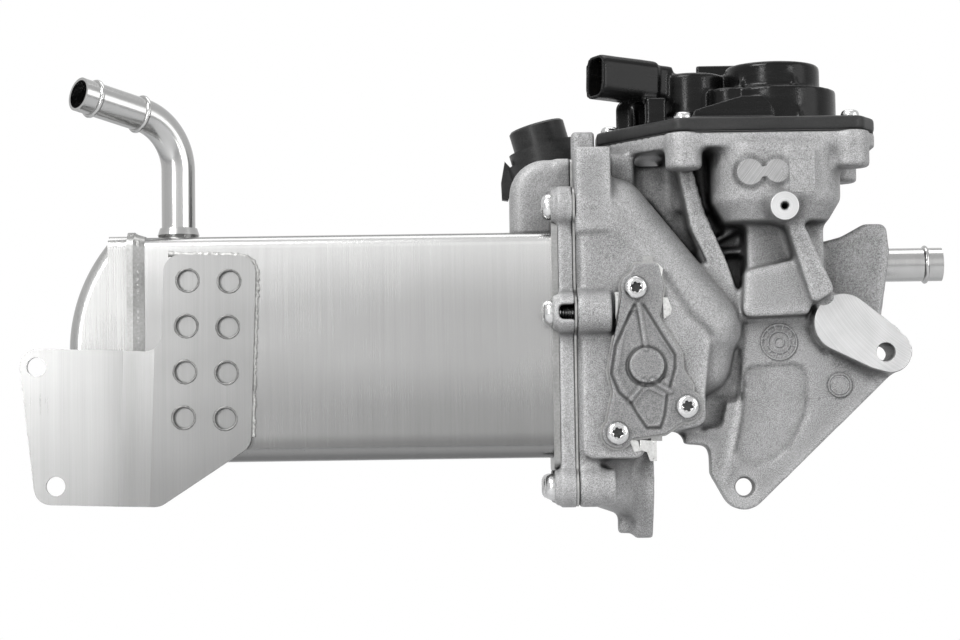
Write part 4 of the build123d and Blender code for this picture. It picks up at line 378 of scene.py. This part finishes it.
def openness(points, facing):
    # share of the sky that each point sees, by rays among the parts at rest; more counts from above
    corners, faces = [], []
    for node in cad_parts.values():
        start = len(corners)
        corners += [node.matrix_world @ vertex.co for vertex in node.data.vertices]
        faces += [[start + index for index in polygon.vertices] for polygon in node.data.polygons]
    tree = BVHTree.FromPolygons(corners, faces)
    count, reach = skyLook["rays"], skyLook["reach"]
    rays = []
    for index in range(count):
        up = 1 - (index + 0.5) / count * skyLook["spread"]
        turn = goldenTurn * index
        flat = math.sqrt(1 - up * up)
        rays.append((flat * math.cos(turn), flat * math.sin(turn), up))
    shares = np.zeros(len(points))
    for number, (point, normal) in enumerate(zip(points, facing)):
        normal = Vector(normal)
        side = normal.orthogonal().normalized()
        other = normal.cross(side)
        start = Vector(point) + normal * skyLook["lift"]
        total = weight = 0.0
        for x, y, up in rays:
            weight += up
            ray = side * x + other * y + normal * up
            hit = tree.ray_cast(start, ray, reach)
            light = up * (1.0 + skyLook["above"] * ray.z)
            total += light if hit[0] is None else light * skyLook["blocked"] * hit[3] / reach
        shares[number] = total / weight
    return shares


def insideOf(points, outline):
    # which points stand inside an outline, seen from the front
    flat = points[:, [0, 2]] * 1000
    inside = np.zeros(len(flat), dtype=bool)
    for (x1, z1), (x2, z2) in zip(outline, outline[1:] + outline[:1]):
        if z1 != z2:
            crosses = (z1 > flat[:, 1]) != (z2 > flat[:, 1])
            inside ^= crosses & (flat[:, 0] < (x2 - x1) * (flat[:, 1] - z1) / (z2 - z1) + x1)
    return inside


# least and most bound the painted light from the bend: creases are painted down to 0.4, outer edges up to
# 1.25
hollowLook = dict(inner=0.6, wideRounds=8, softRounds=2, least=0.4, most=1.25)


def castCopy(node, voxel, rounds, convex, grooves=(), fills=(), flats=(), creaseAndEdgeLight=0.55, shadow=0.93):
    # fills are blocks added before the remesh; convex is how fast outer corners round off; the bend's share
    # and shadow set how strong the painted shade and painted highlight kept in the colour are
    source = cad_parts[node]
    piece = bpy.data.objects.new(node.replace("_", "") + "Cast", source.data.copy())
    scene.collection.objects.link(piece)
    if fills:
        shape = bmesh.new()
        shape.from_mesh(piece.data)
        for outline, frontY, backY in fills:
            prism(shape, outline, frontY, backY)
        bmesh.ops.recalc_face_normals(shape, faces=shape.faces)
        shape.to_mesh(piece.data)
        shape.free()
    remesh = piece.modifiers.new("remesh", "REMESH")
    remesh.mode = "VOXEL"
    remesh.voxel_size = voxel
    remesh.adaptivity = 0.0
    graph = bpy.context.evaluated_depsgraph_get()
    dense = bpy.data.meshes.new_from_object(piece.evaluated_get(graph))
    piece.modifiers.clear()
    piece.data = dense
    count = len(dense.vertices)
    points = np.zeros(count * 3)
    dense.vertices.foreach_get("co", points)
    points = points.reshape(-1, 3)
    edges = np.zeros(len(dense.edges) * 2, dtype=np.int64)
    dense.edges.foreach_get("vertices", edges)
    edges = edges.reshape(-1, 2)
    valence = np.bincount(edges.ravel(), minlength=count).astype(float)[:, None]

    def neighbours(values):
        total = np.zeros_like(values)
        np.add.at(total, edges[:, 0], values[edges[:, 1]])
        np.add.at(total, edges[:, 1], values[edges[:, 0]])
        return total / valence

    def normals():
        dense.vertices.foreach_set("co", points.ravel())
        dense.update()
        out = np.zeros(count * 3)
        dense.vertices.foreach_get("normal", out)
        return out.reshape(-1, 3)

    for index in range(rounds):
        if index % 3 == 0:
            facing = normals()
        pull = neighbours(points) - points
        inward = (pull * facing).sum(1, keepdims=True) < 0
        points = points + pull * np.where(inward, convex, hollowLook["inner"])
    facing = normals()
    moved = np.zeros(count, dtype=bool)
    for outline, level, low, high in flats:
        # faces between two depths are brought to one level
        chosen = insideOf(points, outline) & (points[:, 1] * 1000 > low)
        chosen &= (points[:, 1] * 1000 < level) | ((facing[:, 1] < -0.3) & (points[:, 1] * 1000 < high))
        points[chosen, 1] = level / 1000
        moved |= chosen
    paintedGrooveLight = np.ones(count)
    for path, half, depth, low, high, dark in grooves:
        # depth is cut from faces that look forward between the two depths; below zero it stands proud. The
        # last number is painted shade along the line, and below zero a painted highlight
        reach = np.clip(1 - (nearPath(points, path) / half) ** 2, 0, 1)
        reach *= (facing[:, 1] < -0.45) & (points[:, 1] * 1000 > low) & (points[:, 1] * 1000 < high)
        points[:, 1] += reach * depth / 1000
        paintedGrooveLight *= 1 - dark * reach
    facing = normals()
    wide = points.copy()
    for index in range(hollowLook["wideRounds"]):
        wide = neighbours(wide)
    bend = ((wide - points) * facing).sum(1) / voxel
    for index in range(hollowLook["softRounds"]):
        bend = neighbours(bend[:, None])[:, 0]
    # painted light: darker in creases, lighter on outer edges, times the painted shade and highlight of the
    # grooves
    paintedLight = np.clip(1.0 - bend * creaseAndEdgeLight, hollowLook["least"], hollowLook["most"]) * paintedGrooveLight
    if shadow:
        skyShare = np.where(moved, skyLook["free"], openness(points, facing))
        paintedLight *= 1 - shadow * np.clip((skyLook["free"] - skyShare) / skyLook["span"], 0, 1)
    layer = dense.attributes.new("paintedLight", "FLOAT", "POINT")
    layer.data.foreach_set("value", paintedLight.astype(np.float32))
    dense.materials.clear()
    dense.materials.append(nodeMaterials[node])
    dense.shade_smooth()
    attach(piece, "housing")
    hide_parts(node)
    print(node, "faces", len(dense.polygons))


def circle(x, z, radius, count=64):
    turns = [2 * math.pi * index / count for index in range(count)]
    return [(x + radius * math.cos(t), z + radius * math.sin(t)) for t in turns]


def around(x, z, radius):
    # a circle that ends where it starts, as a groove needs it
    line = circle(x, z, radius, 32)
    return line + line[:1]


# Casting details, each: line of (x, z), half width, depth, nearest and farthest y, and the share of painted
# shade along the line, a painted highlight below zero
padEdge = [(38.0, 63.5), (34.0, 67.5), (31.6, 73.0), (31.6, 79.0), (34.0, 86.0)]
webRecess = [(-3.9, 16.3), (-1.8, 25.6), (-0.2, 34.9), (0.4, 44.3), (0.8, 50.8)]
webRecess += [(2.1, 54.5), (4.9, 56.3), (13.8, 56.7), (24.5, 57.0), (28.2, 55.3)]
webRecess += [(29.8, 51.3), (29.8, 41.0), (28.2, 33.1), (24.8, 25.3), (20.9, 17.9)]
housingGrooves = [
    (around(2.7, 144.6, 7.2), 1.7, 0.5, -30, -17, 0.5),
    (around(15.2, 144.9, 6.6), 1.6, 0.5, -30, -17, 0.45),
    (around(17.9, 128.5, 8.2), 2.0, 0.3, -28, -18, 0.3),
    (around(17.3, 67.4, 8.2), 1.3, 0.25, -3, 3, 0.3),
    (around(17.3, 67.4, 5.1), 1.2, 0.2, -3, 3, 0.22),
    (around(45.3, 46.9, 5.4), 1.5, 0.35, -3, 3, 0.4),
    (webRecess, 1.4, 0.25, -3, 3, 0.38),
    ([(-0.6, 73.3), (-0.6, 49.9), (-2.7, 35.9), (-6.6, 17.3), (-9.9, 3.4)], 1.5, -0.35, -3, 3, -0.25),
    (padEdge + [(70.0, 51.0), (76.0, 53.0)], 2.4, 0.4, -4, 4, 0.5),
    ([(38.0, 63.5), (60.0, 52.3), (70.0, 50.4)], 2.2, 0.3, -4, 4, 0.35),
    ([(-36.7, 98.2), (-25.5, 81.0), (-15.6, 70.7)], 2.2, 1.0, -18.5, 4, 0.35),
    ([(0.0, 41.0), (0.3, 79.0)], 2.0, 0.9, -4, 4, 0.4),
    ([(-59.0, 124.0), (-44.0, 108.0)], 1.6, -0.8, -19, -10, 0.0),
    ([(-0.4, 79.0), (30.5, 79.6)], 1.7, 0.7, -4, 4, 0.35),
    ([(32.0, 78.0), (41.0, 63.5), (60.0, 50.5)], 1.8, 0.5, -3, 3, 0.25),
    ([(-63.0, 118.5), (-76.0, 118.0)], 1.8, 0.6, -22, -10, 0.3),
    ([(-12.5, 41.5), (-1.5, 43.0)], 1.6, 0.6, -6, 6, 0.3),
]
# Blocks: outline, nearest and farthest y
housingFills = [
    ([(-21, 30), (0, 30), (0, 66), (-8, 66), (-15, 52), (-21, 42)], 3.6, 11),
    ([(-52, 136), (-32, 136), (-32, 153), (-52, 153)], 14.5, 19.5),
]
# Levels: outline, its y, and the nearest and farthest y of the faces brought to it
housingFlats = [
    ([(1.5, 42), (42, 42), (42, 60), (33, 76), (1.5, 76)], 0.0, -5, 2),
    (webRecess + [(14.5, 12), (5, 9), (-2, 11)], 0.9, -1, 2),
]
castCopy("valve_housing", 0.0013, 10, 0.12, housingGrooves, housingFills, housingFlats, 0.75)
castCopy("adapter_frame", 0.0009, 8, 0.12)
coverLook = dict(
    left=[(-51.4, 84.2), (-56.4, 74.2), (-60.4, 65.5), (-62.5, 52.7), (-59.2, 44.4), (-54.4, 39.8)],
    right=[(-47.1, 84.2), (-40.3, 72.6), (-33.2, 61.0), (-33.3, 55.3), (-35.6, 46.7)],
    pocket=[(-53.8, 39.3), (-50.7, 33.8), (-46.7, 27.8), (-40.3, 27.7), (-38.3, 33.6), (-37.2, 42.3)],
    ribs=[[(-54.4, 40.0), (-47.4, 49.0)], [(-43.6, 49.4), (-35.4, 44.2)], [(-49.6, 85.0), (-46.4, 64.0)]],
)
# the cover's outlines, pocket, ring and rib sides are cut in with painted shade along them; the ribs' tops
# stand proud with a painted highlight
coverGrooves = [(coverLook[key], 0.95, 0.8, -23.5, -17, 0.8) for key in ("left", "right", "pocket")]
coverGrooves += [(rib, 2.4, 0.35, -23.5, -17, 0.5) for rib in coverLook["ribs"]]
coverGrooves += [(rib, 1.3, -1.0, -23.5, -17, -0.9) for rib in coverLook["ribs"]]
coverGrooves += [(around(-46.2, 56.1, 8.9), 1.0, 0.5, -23.5, -17, 0.6)]
castCopy("flap_cover", 0.0005, 6, 0.12, coverGrooves)
connectorFoot = [([(-43, 171), (-33, 171), (-33, 184), (-43, 184)], 3, 12)]
castCopy("actuator_cover", 0.0009, 5, 0.5, fills=connectorFoot, shadow=0.0)


# Springs: copies of the CAD springs, which are hidden; each finds the centre of its still end
def coil(node, axis):
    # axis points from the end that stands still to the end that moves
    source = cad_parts[node]
    piece = newPiece(node.replace("_", "") + "Coil", source.data.copy(), nodeMaterials[node])
    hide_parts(node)
    axis = Vector(axis).normalized()
    spots = [vertex.co for vertex in piece.data.vertices]
    heights = [spot.dot(axis) for spot in spots]
    still = [spot for spot, height in zip(spots, heights) if height < min(heights) + 0.001]
    anchor = sum(still, Vector()) / len(still)
    anchor += axis * (min(heights) - anchor.dot(axis))
    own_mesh(piece)


coil("valve_spring", (0, 0, 1))
coil("vacuum_spring", (0.2672, 0, -0.9636))
print("castings done")


# Lines that stand on a surface: rings, ticks, weld runs
def beads(name, lines, radius, material, rough=0.0, seed=1):
    curve = bpy.data.curves.new(name, "CURVE")
    curve.dimensions = "3D"
    curve.bevel_depth = radius / 1000
    curve.bevel_resolution = 3
    curve.use_fill_caps = True
    chance = np.random.default_rng(seed)
    for line, closed in lines:
        spline = curve.splines.new("POLY")
        spline.points.add(len(line) - 1)
        for point, corner in zip(spline.points, line):
            point.co = (*place3(*corner), 1)
            point.radius = 1 + rough * chance.uniform(-1, 1)
        spline.use_cyclic_u = closed
        spline.use_smooth = True
    return newPiece(name, curve, material)


def ring(x, y, z, radius):
    return [(across, y, up) for across, up in circle(x, z, radius, 48)], True


# Flat plates seen from the front: an outline with holes; look has the front face's y, thickness and edge
def plate(name, outline, look, material, holes=()):
    thick, edge = look["thick"], look["edge"]
    curve = bpy.data.curves.new(name, "CURVE")
    curve.dimensions = "2D"
    curve.fill_mode = "BOTH"
    curve.extrude = thick / 2000 - edge / 1000
    curve.bevel_depth = edge / 1000
    curve.offset = -edge / 1000
    curve.bevel_resolution = 2
    for line in [outline, *holes]:
        spline = curve.splines.new("POLY")
        spline.points.add(len(line) - 1)
        for point, (x, z) in zip(spline.points, line):
            point.co = (x / 1000, z / 1000, 0, 1)
        spline.use_cyclic_u = True
    stand = bpy.data.objects.new(name + "Draft", curve)
    scene.collection.objects.link(stand)
    graph = bpy.context.evaluated_depsgraph_get()
    mesh = bpy.data.meshes.new_from_object(stand.evaluated_get(graph))
    bpy.data.objects.remove(stand)
    mesh.transform(Matrix.Rotation(math.radians(90), 4, "X"))
    mesh.transform(Matrix.Translation(place3(0, look["y"] + thick / 2, 0)))
    mesh.shade_smooth()
    mesh.set_sharp_from_angle(angle=math.radians(30))
    mesh.materials.clear()
    return newPiece(name, mesh, material)


def hull(circles):
    # the outline that a belt round these circles would take
    points = sorted(point for x, z, radius in circles for point in circle(x, z, radius, 96))

    def half(ordered):
        line = []
        for point in ordered:
            while len(line) > 1:
                (ax, az), (bx, bz) = line[-2], line[-1]
                if (bx - ax) * (point[1] - az) - (bz - az) * (point[0] - ax) > 0:
                    break
                line.pop()
            line.append(point)
        return line[:-1]

    return half(points) + half(points[::-1])


def figureEight(first, second, waist):
    # two round pads run into each other, with a narrow neck between
    line = []
    for (x, z, radius), start in ((first, 0.0), (second, math.pi)):
        gap = math.asin(waist / radius)
        for turn in np.linspace(start + gap, start + 2 * math.pi - gap, 61):
            line.append((x + radius * math.cos(turn), z + radius * math.sin(turn)))
    return line


# Machined faces and raised blocks on the housing
padLook = dict(
    circles=[(46.4, 75.7, 13.3), (63.5, 64.8, 11.0), (68.3, 61.9, 9.5)],
    hole=(65.9, 61.7, 4.5),
    y=-8.15,
    thick=0.9,
    edge=0.15,
)
bossLook = dict(face=(17.9, 128.5, 6.5), hole=(17.9, 128.5, 2.2), y=-28.15, thick=1.0, edge=0.15)
bellyLook = dict(first=(2.7, 144.6, 6.0), second=(15.2, 144.9, 5.4), waist=2.4, y=-25.05, thick=1.3, edge=0.3)
blockLook = dict(
    outline=[(20.6, 154.5), (32.6, 154.5), (32.6, 136.5), (31.0, 134.8), (20.6, 134.8)],
    y=-25.9,
    thick=1.5,
    edge=0.4,
)
plate("padFace", hull(padLook["circles"]), padLook, groundPad, [circle(*padLook["hole"])])
bossOutline, bossHole = circle(*bossLook["face"]), circle(*bossLook["hole"])
plate("bossFace", bossOutline, bossLook, groundBoss, [bossHole])
bellyOutline = figureEight(bellyLook["first"], bellyLook["second"], bellyLook["waist"])
plate("bellyPad", bellyOutline, bellyLook, groundBelly)
plate("bellyBlock", blockLook["outline"], blockLook, castMark)

# Lug on the vacuum can's left side, in the plane of its axis, that shows past the elbow; the last two
# corners stand inside the can's wall, clear of the diaphragm plate
lugLook = dict(
    outline=[(-109.0, 162.7), (-110.9, 152.2), (-110.6, 143.7), (-107.5, 143.2), (-105.5, 149.1)],
    root=[(-102.6, 148.9), (-105.3, 158.6)],
    y=67.5,
    thick=7.0,
    edge=0.4,
)
plate("canLug", lugLook["outline"] + lugLook["root"], lugLook, blackPaint)

# Gasket: bent tabs and edges that show past the flap cover, each with the y of its front
tabLook = dict(thick=0.8, edge=0.2)
tabs = dict(
    top=(
        [(-50.8, 97.3), (-50.2, 102.3), (-47.9, 103.7), (-40.1, 103.6), (-37.8, 101.2), (-38.4, 97.6)],
        -19.0,
    ),
    topFold=([(-47.2, 97.5), (-47.2, 102.6), (-42.2, 102.6), (-42.2, 97.5)], -20.0),
    right=([(-38.1, 87.9), (-35.8, 87.8), (-34.0, 82.7), (-34.5, 80.0), (-37.8, 77.7)], -18.2),
    left=([(-62.3, 90.7), (-58.1, 90.6), (-58.7, 82.3), (-61.7, 71.3), (-63.3, 71.3)], -18.2),
    low=([(-54.8, 23.0), (-50.6, 22.0), (-49.3, 17.3), (-52.5, 16.9)], -18.2),
    lowFold=(
        [(-49.7, 22.4), (-41.9, 21.8), (-42.1, 12.6), (-45.3, 12.7), (-46.6, 16.8), (-49.8, 17.8)],
        -18.6,
    ),
)
for key, (outline, frontY) in tabs.items():
    plate(key + "Tab", outline, dict(tabLook, y=frontY), tabSteel)

# Casting marks: a plain date wheel with ticks only, and an ejector mark, each with a painted shadow beside
# it, a dark line
wheelLook = dict(x=17.3, y=-0.25, z=67.4, rings=(8.2, 5.1, 2.2), ticks=12, shadow=(0.35, 0.12, -0.45))
ejectorLook = dict(x=45.3, z=46.9, rings=((5.2, -0.15), (4.2, 0.0)), shadow=(45.7, 0.02, 46.4, 5.3))
x, y, z = (wheelLook[axis] for axis in "xyz")
outer, inner = wheelLook["rings"][:2]
wheel = [ring(x, y, z, radius) for radius in wheelLook["rings"]]
for index in range(wheelLook["ticks"]):
    turn = 2 * math.pi * (index + 0.5) / wheelLook["ticks"]
    wheel.append(([(x + r * math.cos(turn), y, z + r * math.sin(turn)) for r in (inner, outer)], False))
beads("dateWheel", wheel, 0.36, castMark)
aside, back, down = wheelLook["shadow"]
wheelShadow = [ring(x + aside, y + back, z + down, radius) for radius in wheelLook["rings"]]
beads("dateWheelShadow", wheelShadow, 0.34, castShade)
ejector = [ring(ejectorLook["x"], depth, ejectorLook["z"], radius) for radius, depth in ejectorLook["rings"]]
beads("ejectorMark", ejector, 0.42, castMark)
beads("ejectorShadow", [ring(*ejectorLook["shadow"])], 0.36, castShade)
print("machined faces and marks done")


# Screws: pan heads with a six-lobed socket, and shanks with a rolled thread. The head's profile runs from
# the socket's floor to the shank: which size, its share, the share of the head's height, lobed or not
headProfile = [
    ("socket", 0.0, 0.25, 0),
    ("socket", 0.97, 0.28, 1),
    ("socket", 1.0, 0.94, 1),
    ("socket", 1.12, 1.0, 0),
    ("head", 0.66, 0.95, 0),
    ("head", 0.86, 0.76, 0),
    ("head", 0.97, 0.42, 0),
    ("head", 1.0, 0.16, 0),
    ("head", 0.98, 0.0, 0),
    ("shank", 1.0, 0.0, 0),
]
threadLook = dict(root=0.88, tip=0.8, lobe=0.15, segments=48)


def screwMesh(mesh, seat, outward, look):
    side = outward.orthogonal().normalized()
    other = outward.cross(side)
    shank, length, pitch = look["shank"], look["length"], look["pitch"]
    rows = [(look[size] * share, look["high"] * level, lobed) for size, share, level, lobed in headProfile]
    depth = look.get("plain", 0.0)
    rows.append((shank, -depth, 0))
    while depth < length - pitch:
        rows.append((shank * threadLook["root"], -depth - pitch * 0.5, 0))
        rows.append((shank, -depth - pitch, 0))
        depth += pitch
    rows.append((shank * threadLook["tip"], -length, 0))
    segments = threadLook["segments"]
    rings = []
    for radius, up, lobed in rows:
        row = []
        for index in range(segments):
            turn = 2 * math.pi * index / segments
            reach = radius * (1 + threadLook["lobe"] * lobed * math.cos(6 * turn))
            spot = seat + side * reach * math.cos(turn) + other * reach * math.sin(turn) + outward * up
            row.append(mesh.verts.new(spot / 1000))
        rings.append(row)
    for number, (near, far) in enumerate(zip(rings[:-1], rings[1:])):
        for index in range(segments):
            after = (index + 1) % segments
            if number == 0:
                corners = (near[0], far[index], far[after])
            else:
                corners = (far[index], far[after], near[after], near[index])
            face = mesh.faces.new(corners)
            # the socket's floor and walls take the second material, painted shade
            face.material_index = 1 if number < 2 else 0
            face.smooth = True
    mesh.faces.new(rings[-1])


def screwSet(name, places, look, node):
    mesh = bmesh.new()
    for seat, outward in places:
        screwMesh(mesh, Vector(seat), Vector(outward).normalized(), look)
    bmesh.ops.remove_doubles(mesh, verts=mesh.verts, dist=1e-7)
    bmesh.ops.recalc_face_normals(mesh, faces=mesh.faces)
    data = bpy.data.meshes.new(name)
    mesh.to_mesh(data)
    mesh.free()
    data.set_sharp_from_angle(angle=math.radians(48))
    piece = newPiece(name, data, screwSteel)
    data.materials.append(socketPaintedShade)
    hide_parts(node)


# Places are seats under the heads, in millimetres
coverScrewLook = dict(head=5.6, high=3.6, socket=2.3, shank=2.0, length=12.5, pitch=0.9)
coverPlaces = [(-50.6, -21.6, 92.3), (-28.0, -21.6, 37.5), (-60.1, -21.6, 25.7)]
deckScrewLook = dict(head=4.3, high=3.0, socket=1.9, shank=2.0, length=17.5, pitch=0.9)
deckPlaces = [(-27, -15.5, 170.9), (50.5, -15.5, 170.9), (-58.5, 31, 170.9)]
deckPlaces += [(54, 47, 170.9), (-4, 51.5, 170.9), (-50, 51, 170.9)]
boltLook = dict(head=6.2, high=4.5, socket=2.9, shank=2.95, length=26.0, pitch=1.25, plain=2.0)
# the rear bolts at the top and in the middle also hold the can's bracket, and stand out by its 2 mm
boltPlaces = [(-88.9, -10, 131.3), (-90.9, 50, 131.3), (-88.9, -18, 81.4)]
boltPlaces += [(-90.9, 58, 81.4), (-88.9, -10, 1.3), (-88.9, 50, 1.3)]
screwSet("coverScrewHeads", [(at, (0, -1, 0)) for at in coverPlaces], coverScrewLook, "cover_screws")
screwSet("deckScrewHeads", [(at, (0, 0, 1)) for at in deckPlaces], deckScrewLook, "actuator_screws")
screwSet("jointBoltHeads", [(at, (-1, 0, 0)) for at in boltPlaces], boltLook, "joint_bolts")
print("screws done")

# Weld runs round the bracket, in the bracket's own turned frame
bracketLook = dict(x=-249.0, z=67.0, tilt=2.0, right=21.8, top=43.8, low=-40.0, corner=8.0, left=-20.0)


def onBracket(u, w, y):
    turn = math.radians(bracketLook["tilt"])
    x = bracketLook["x"] + u * math.cos(turn) + w * math.sin(turn)
    return x, y, bracketLook["z"] - u * math.sin(turn) + w * math.cos(turn)


weldLook = dict(step=0.9, y=-10.4, off=0.2, wander=0.25)
plugLook = dict(columns=(-9.6, 9.6), rows=(-31.8, -10.6, 10.6, 31.8), radius=5.25, y=-12.75)
headerLook = dict(x=-281.0, y=-10.3, low=16.5, high=119.0, step=0.9, wander=0.3)
chance = np.random.default_rng(4)


def wander(reach):
    return chance.uniform(-reach, reach)


right, top, corner = bracketLook["right"], bracketLook["top"], bracketLook["corner"]
run = [(right, w) for w in np.arange(bracketLook["low"], top - corner, weldLook["step"])]
run += [
    (right - corner + corner * math.cos(t), top - corner + corner * math.sin(t))
    for t in np.linspace(0, math.pi / 2, 14)
]
run += [(u, top) for u in np.arange(right - corner, bracketLook["left"], -weldLook["step"])]
off, stray = weldLook["off"], weldLook["wander"]
weldLine = [onBracket(u + off + wander(stray), w + off + wander(stray), weldLook["y"]) for u, w in run]
beads("bracketWeld", [(weldLine, False)], 1.25, weldSteel, 0.3, 7)
# plug weld rings, their dark colour partly the weld's own and partly painted shade of the dimples
plugs = []
for column in plugLook["columns"]:
    for row in plugLook["rows"]:
        edge = circle(column, row, plugLook["radius"], 40)
        plugs.append(([onBracket(u, w, plugLook["y"]) for u, w in edge], True))
beads("plugWelds", plugs, 0.6, plugWeldAndShade, 0.12, 11)
heights = np.arange(headerLook["low"], headerLook["high"], headerLook["step"])
headerLine = [(headerLook["x"] + wander(headerLook["wander"]), headerLook["y"], z) for z in heights]
beads("headerWeld", [(headerLine, False)], 1.0, weldSteel, 0.35, 9)
print("welds done")

# Camera at the photograph's angle: slightly from below, turned a little about its own axis
cameraLook = dict(distance=1.150, pitch=3.5, roll=0.8, aimX=-0.12236, aimY=0.020, aimZ=0.08089, lens=90.56)
pitch, roll = math.radians(cameraLook["pitch"]), math.radians(cameraLook["roll"])
forward = Vector((0, math.cos(pitch), math.sin(pitch)))
level, rise = Vector((1, 0, 0)), Vector((0, -math.sin(pitch), math.cos(pitch)))
across = level * math.cos(roll) - rise * math.sin(roll)
upward = level * math.sin(roll) + rise * math.cos(roll)
aim = Vector((cameraLook["aimX"], cameraLook["aimY"], cameraLook["aimZ"]))
eye = aim - forward * cameraLook["distance"]
cameraData = bpy.data.cameras.new("camera")
cameraData.sensor_width = 36.0
cameraData.lens = cameraLook["lens"]
cameraData.clip_end = 20.0
camera = bpy.data.objects.new("camera", cameraData)
scene.collection.objects.link(camera)
camera.matrix_world = Matrix(
    (
        (across.x, upward.x, -forward.x, eye.x),
        (across.y, upward.y, -forward.y, eye.y),
        (across.z, upward.z, -forward.z, eye.z),
        (0, 0, 0, 1),
    )
)
scene.camera = camera

# White studio: a broad soft front, a key lamp above left, a fill at the right, one above the part, and two
# narrow upright lamps for the bright lines in the steel; powers in watts
lampLook = {
    "front": dict(at=(-0.1, -2.6, 0.95), size=(2.8, 1.5), power=4.5),
    "key": dict(at=(-0.85, -0.85, 1.25), size=(0.7, 0.5), power=22.0),
    "side": dict(at=(1.2, -0.6, 0.55), size=(0.7, 0.9), power=5.0),
    "top": dict(at=(-0.05, 0.25, 1.45), size=(1.2, 0.6), power=8.0),
    "stripLeft": dict(at=(-0.9, -1.5, 0.35), size=(0.12, 0.9), power=11.0),
    "stripRight": dict(at=(1.1, -1.3, 0.35), size=(0.10, 0.9), power=7.5),
}
target = Vector((-0.1, 0.0, 0.08))
for name, look in lampLook.items():
    lampData = bpy.data.lights.new(name, "AREA")
    lampData.shape = "RECTANGLE"
    lampData.size, lampData.size_y = look["size"]
    lampData.energy = look["power"]
    lamp = bpy.data.objects.new(name, lampData)
    lamp.location = look["at"]
    lamp.rotation_euler = (target - lamp.location).to_track_quat("-Z", "Y").to_euler()
    lamp.visible_camera = False
    scene.collection.objects.link(lamp)

world = bpy.data.worlds.new("studio")
world.use_nodes = True
scene.world = world
sky = Signal(world.node_tree)
# white to the eye and in reflections; dimmer, and darker below, for the light it gives
glowLook = dict(fromHeight=-0.6, toHeight=0.7, dark=0.08, bright=0.52, tint=(0.96, 0.97, 1.0))
paths = sky.node("ShaderNodeLightPath").socket.node.outputs
direct, glossy, through = [
    Signal(world.node_tree, paths[key]) for key in ("Is Camera Ray", "Is Glossy Ray", "Is Transmission Ray")
]
anyRay = direct + glossy + through
seen = anyRay.math("MINIMUM", anyRay, 1.0)
height = axes(sky.node("ShaderNodeTexCoord", output="Generated"))[2]
ends = {"From Min": glowLook["fromHeight"], "From Max": glowLook["toHeight"]}
ends.update({"Value": height, "To Min": glowLook["dark"], "To Max": glowLook["bright"]})
glow = height.node("ShaderNodeMapRange", None, ends)
back = next(n for n in world.node_tree.nodes if n.type == "BACKGROUND")
sky.feed(back.inputs["Color"], seen.mix(glowLook["tint"], (1, 1, 1)))
sky.feed(back.inputs["Strength"], seen + (1 - seen) * glow)

# Pale floor below the part, which hangs free as it does in the photograph; the eye sees it plain white
floorLook = dict(z=-0.30, half=2.5, tone=0.82)
floorMesh = bpy.data.meshes.new("floor")
half, low = floorLook["half"], floorLook["z"]
floorMesh.from_pydata(
    [(-half, -half, low), (half, -half, low), (half, half, low), (-half, half, low)], [], [(0, 1, 2, 3)]
)
floorMaterial, floorShader, floorPlace = newMaterial("floor")
cloud = floorPlace.noise(3.0, 1.0, 0.5)
finish(floorShader, floorPlace, cloud.mix(floorLook["tone"] - 0.02, floorLook["tone"] + 0.02), 0.7)
floorTree = floorMaterial.node_tree
sides = {1: Signal(floorTree, floorShader.outputs["BSDF"]), 2: floorPlace.node("ShaderNodeEmission")}
sides[0] = floorPlace.node("ShaderNodeLightPath", output="Is Camera Ray")
outlet = next(n for n in floorTree.nodes if n.type == "OUTPUT_MATERIAL")
floorPlace.feed(outlet.inputs["Surface"], floorPlace.node("ShaderNodeMixShader", None, sides))
floorMesh.materials.append(floorMaterial)
floor = bpy.data.objects.new("floor", floorMesh)
scene.collection.objects.link(floor)
scene.view_settings.view_transform = "Standard"
print("camera, lamps and floor done")
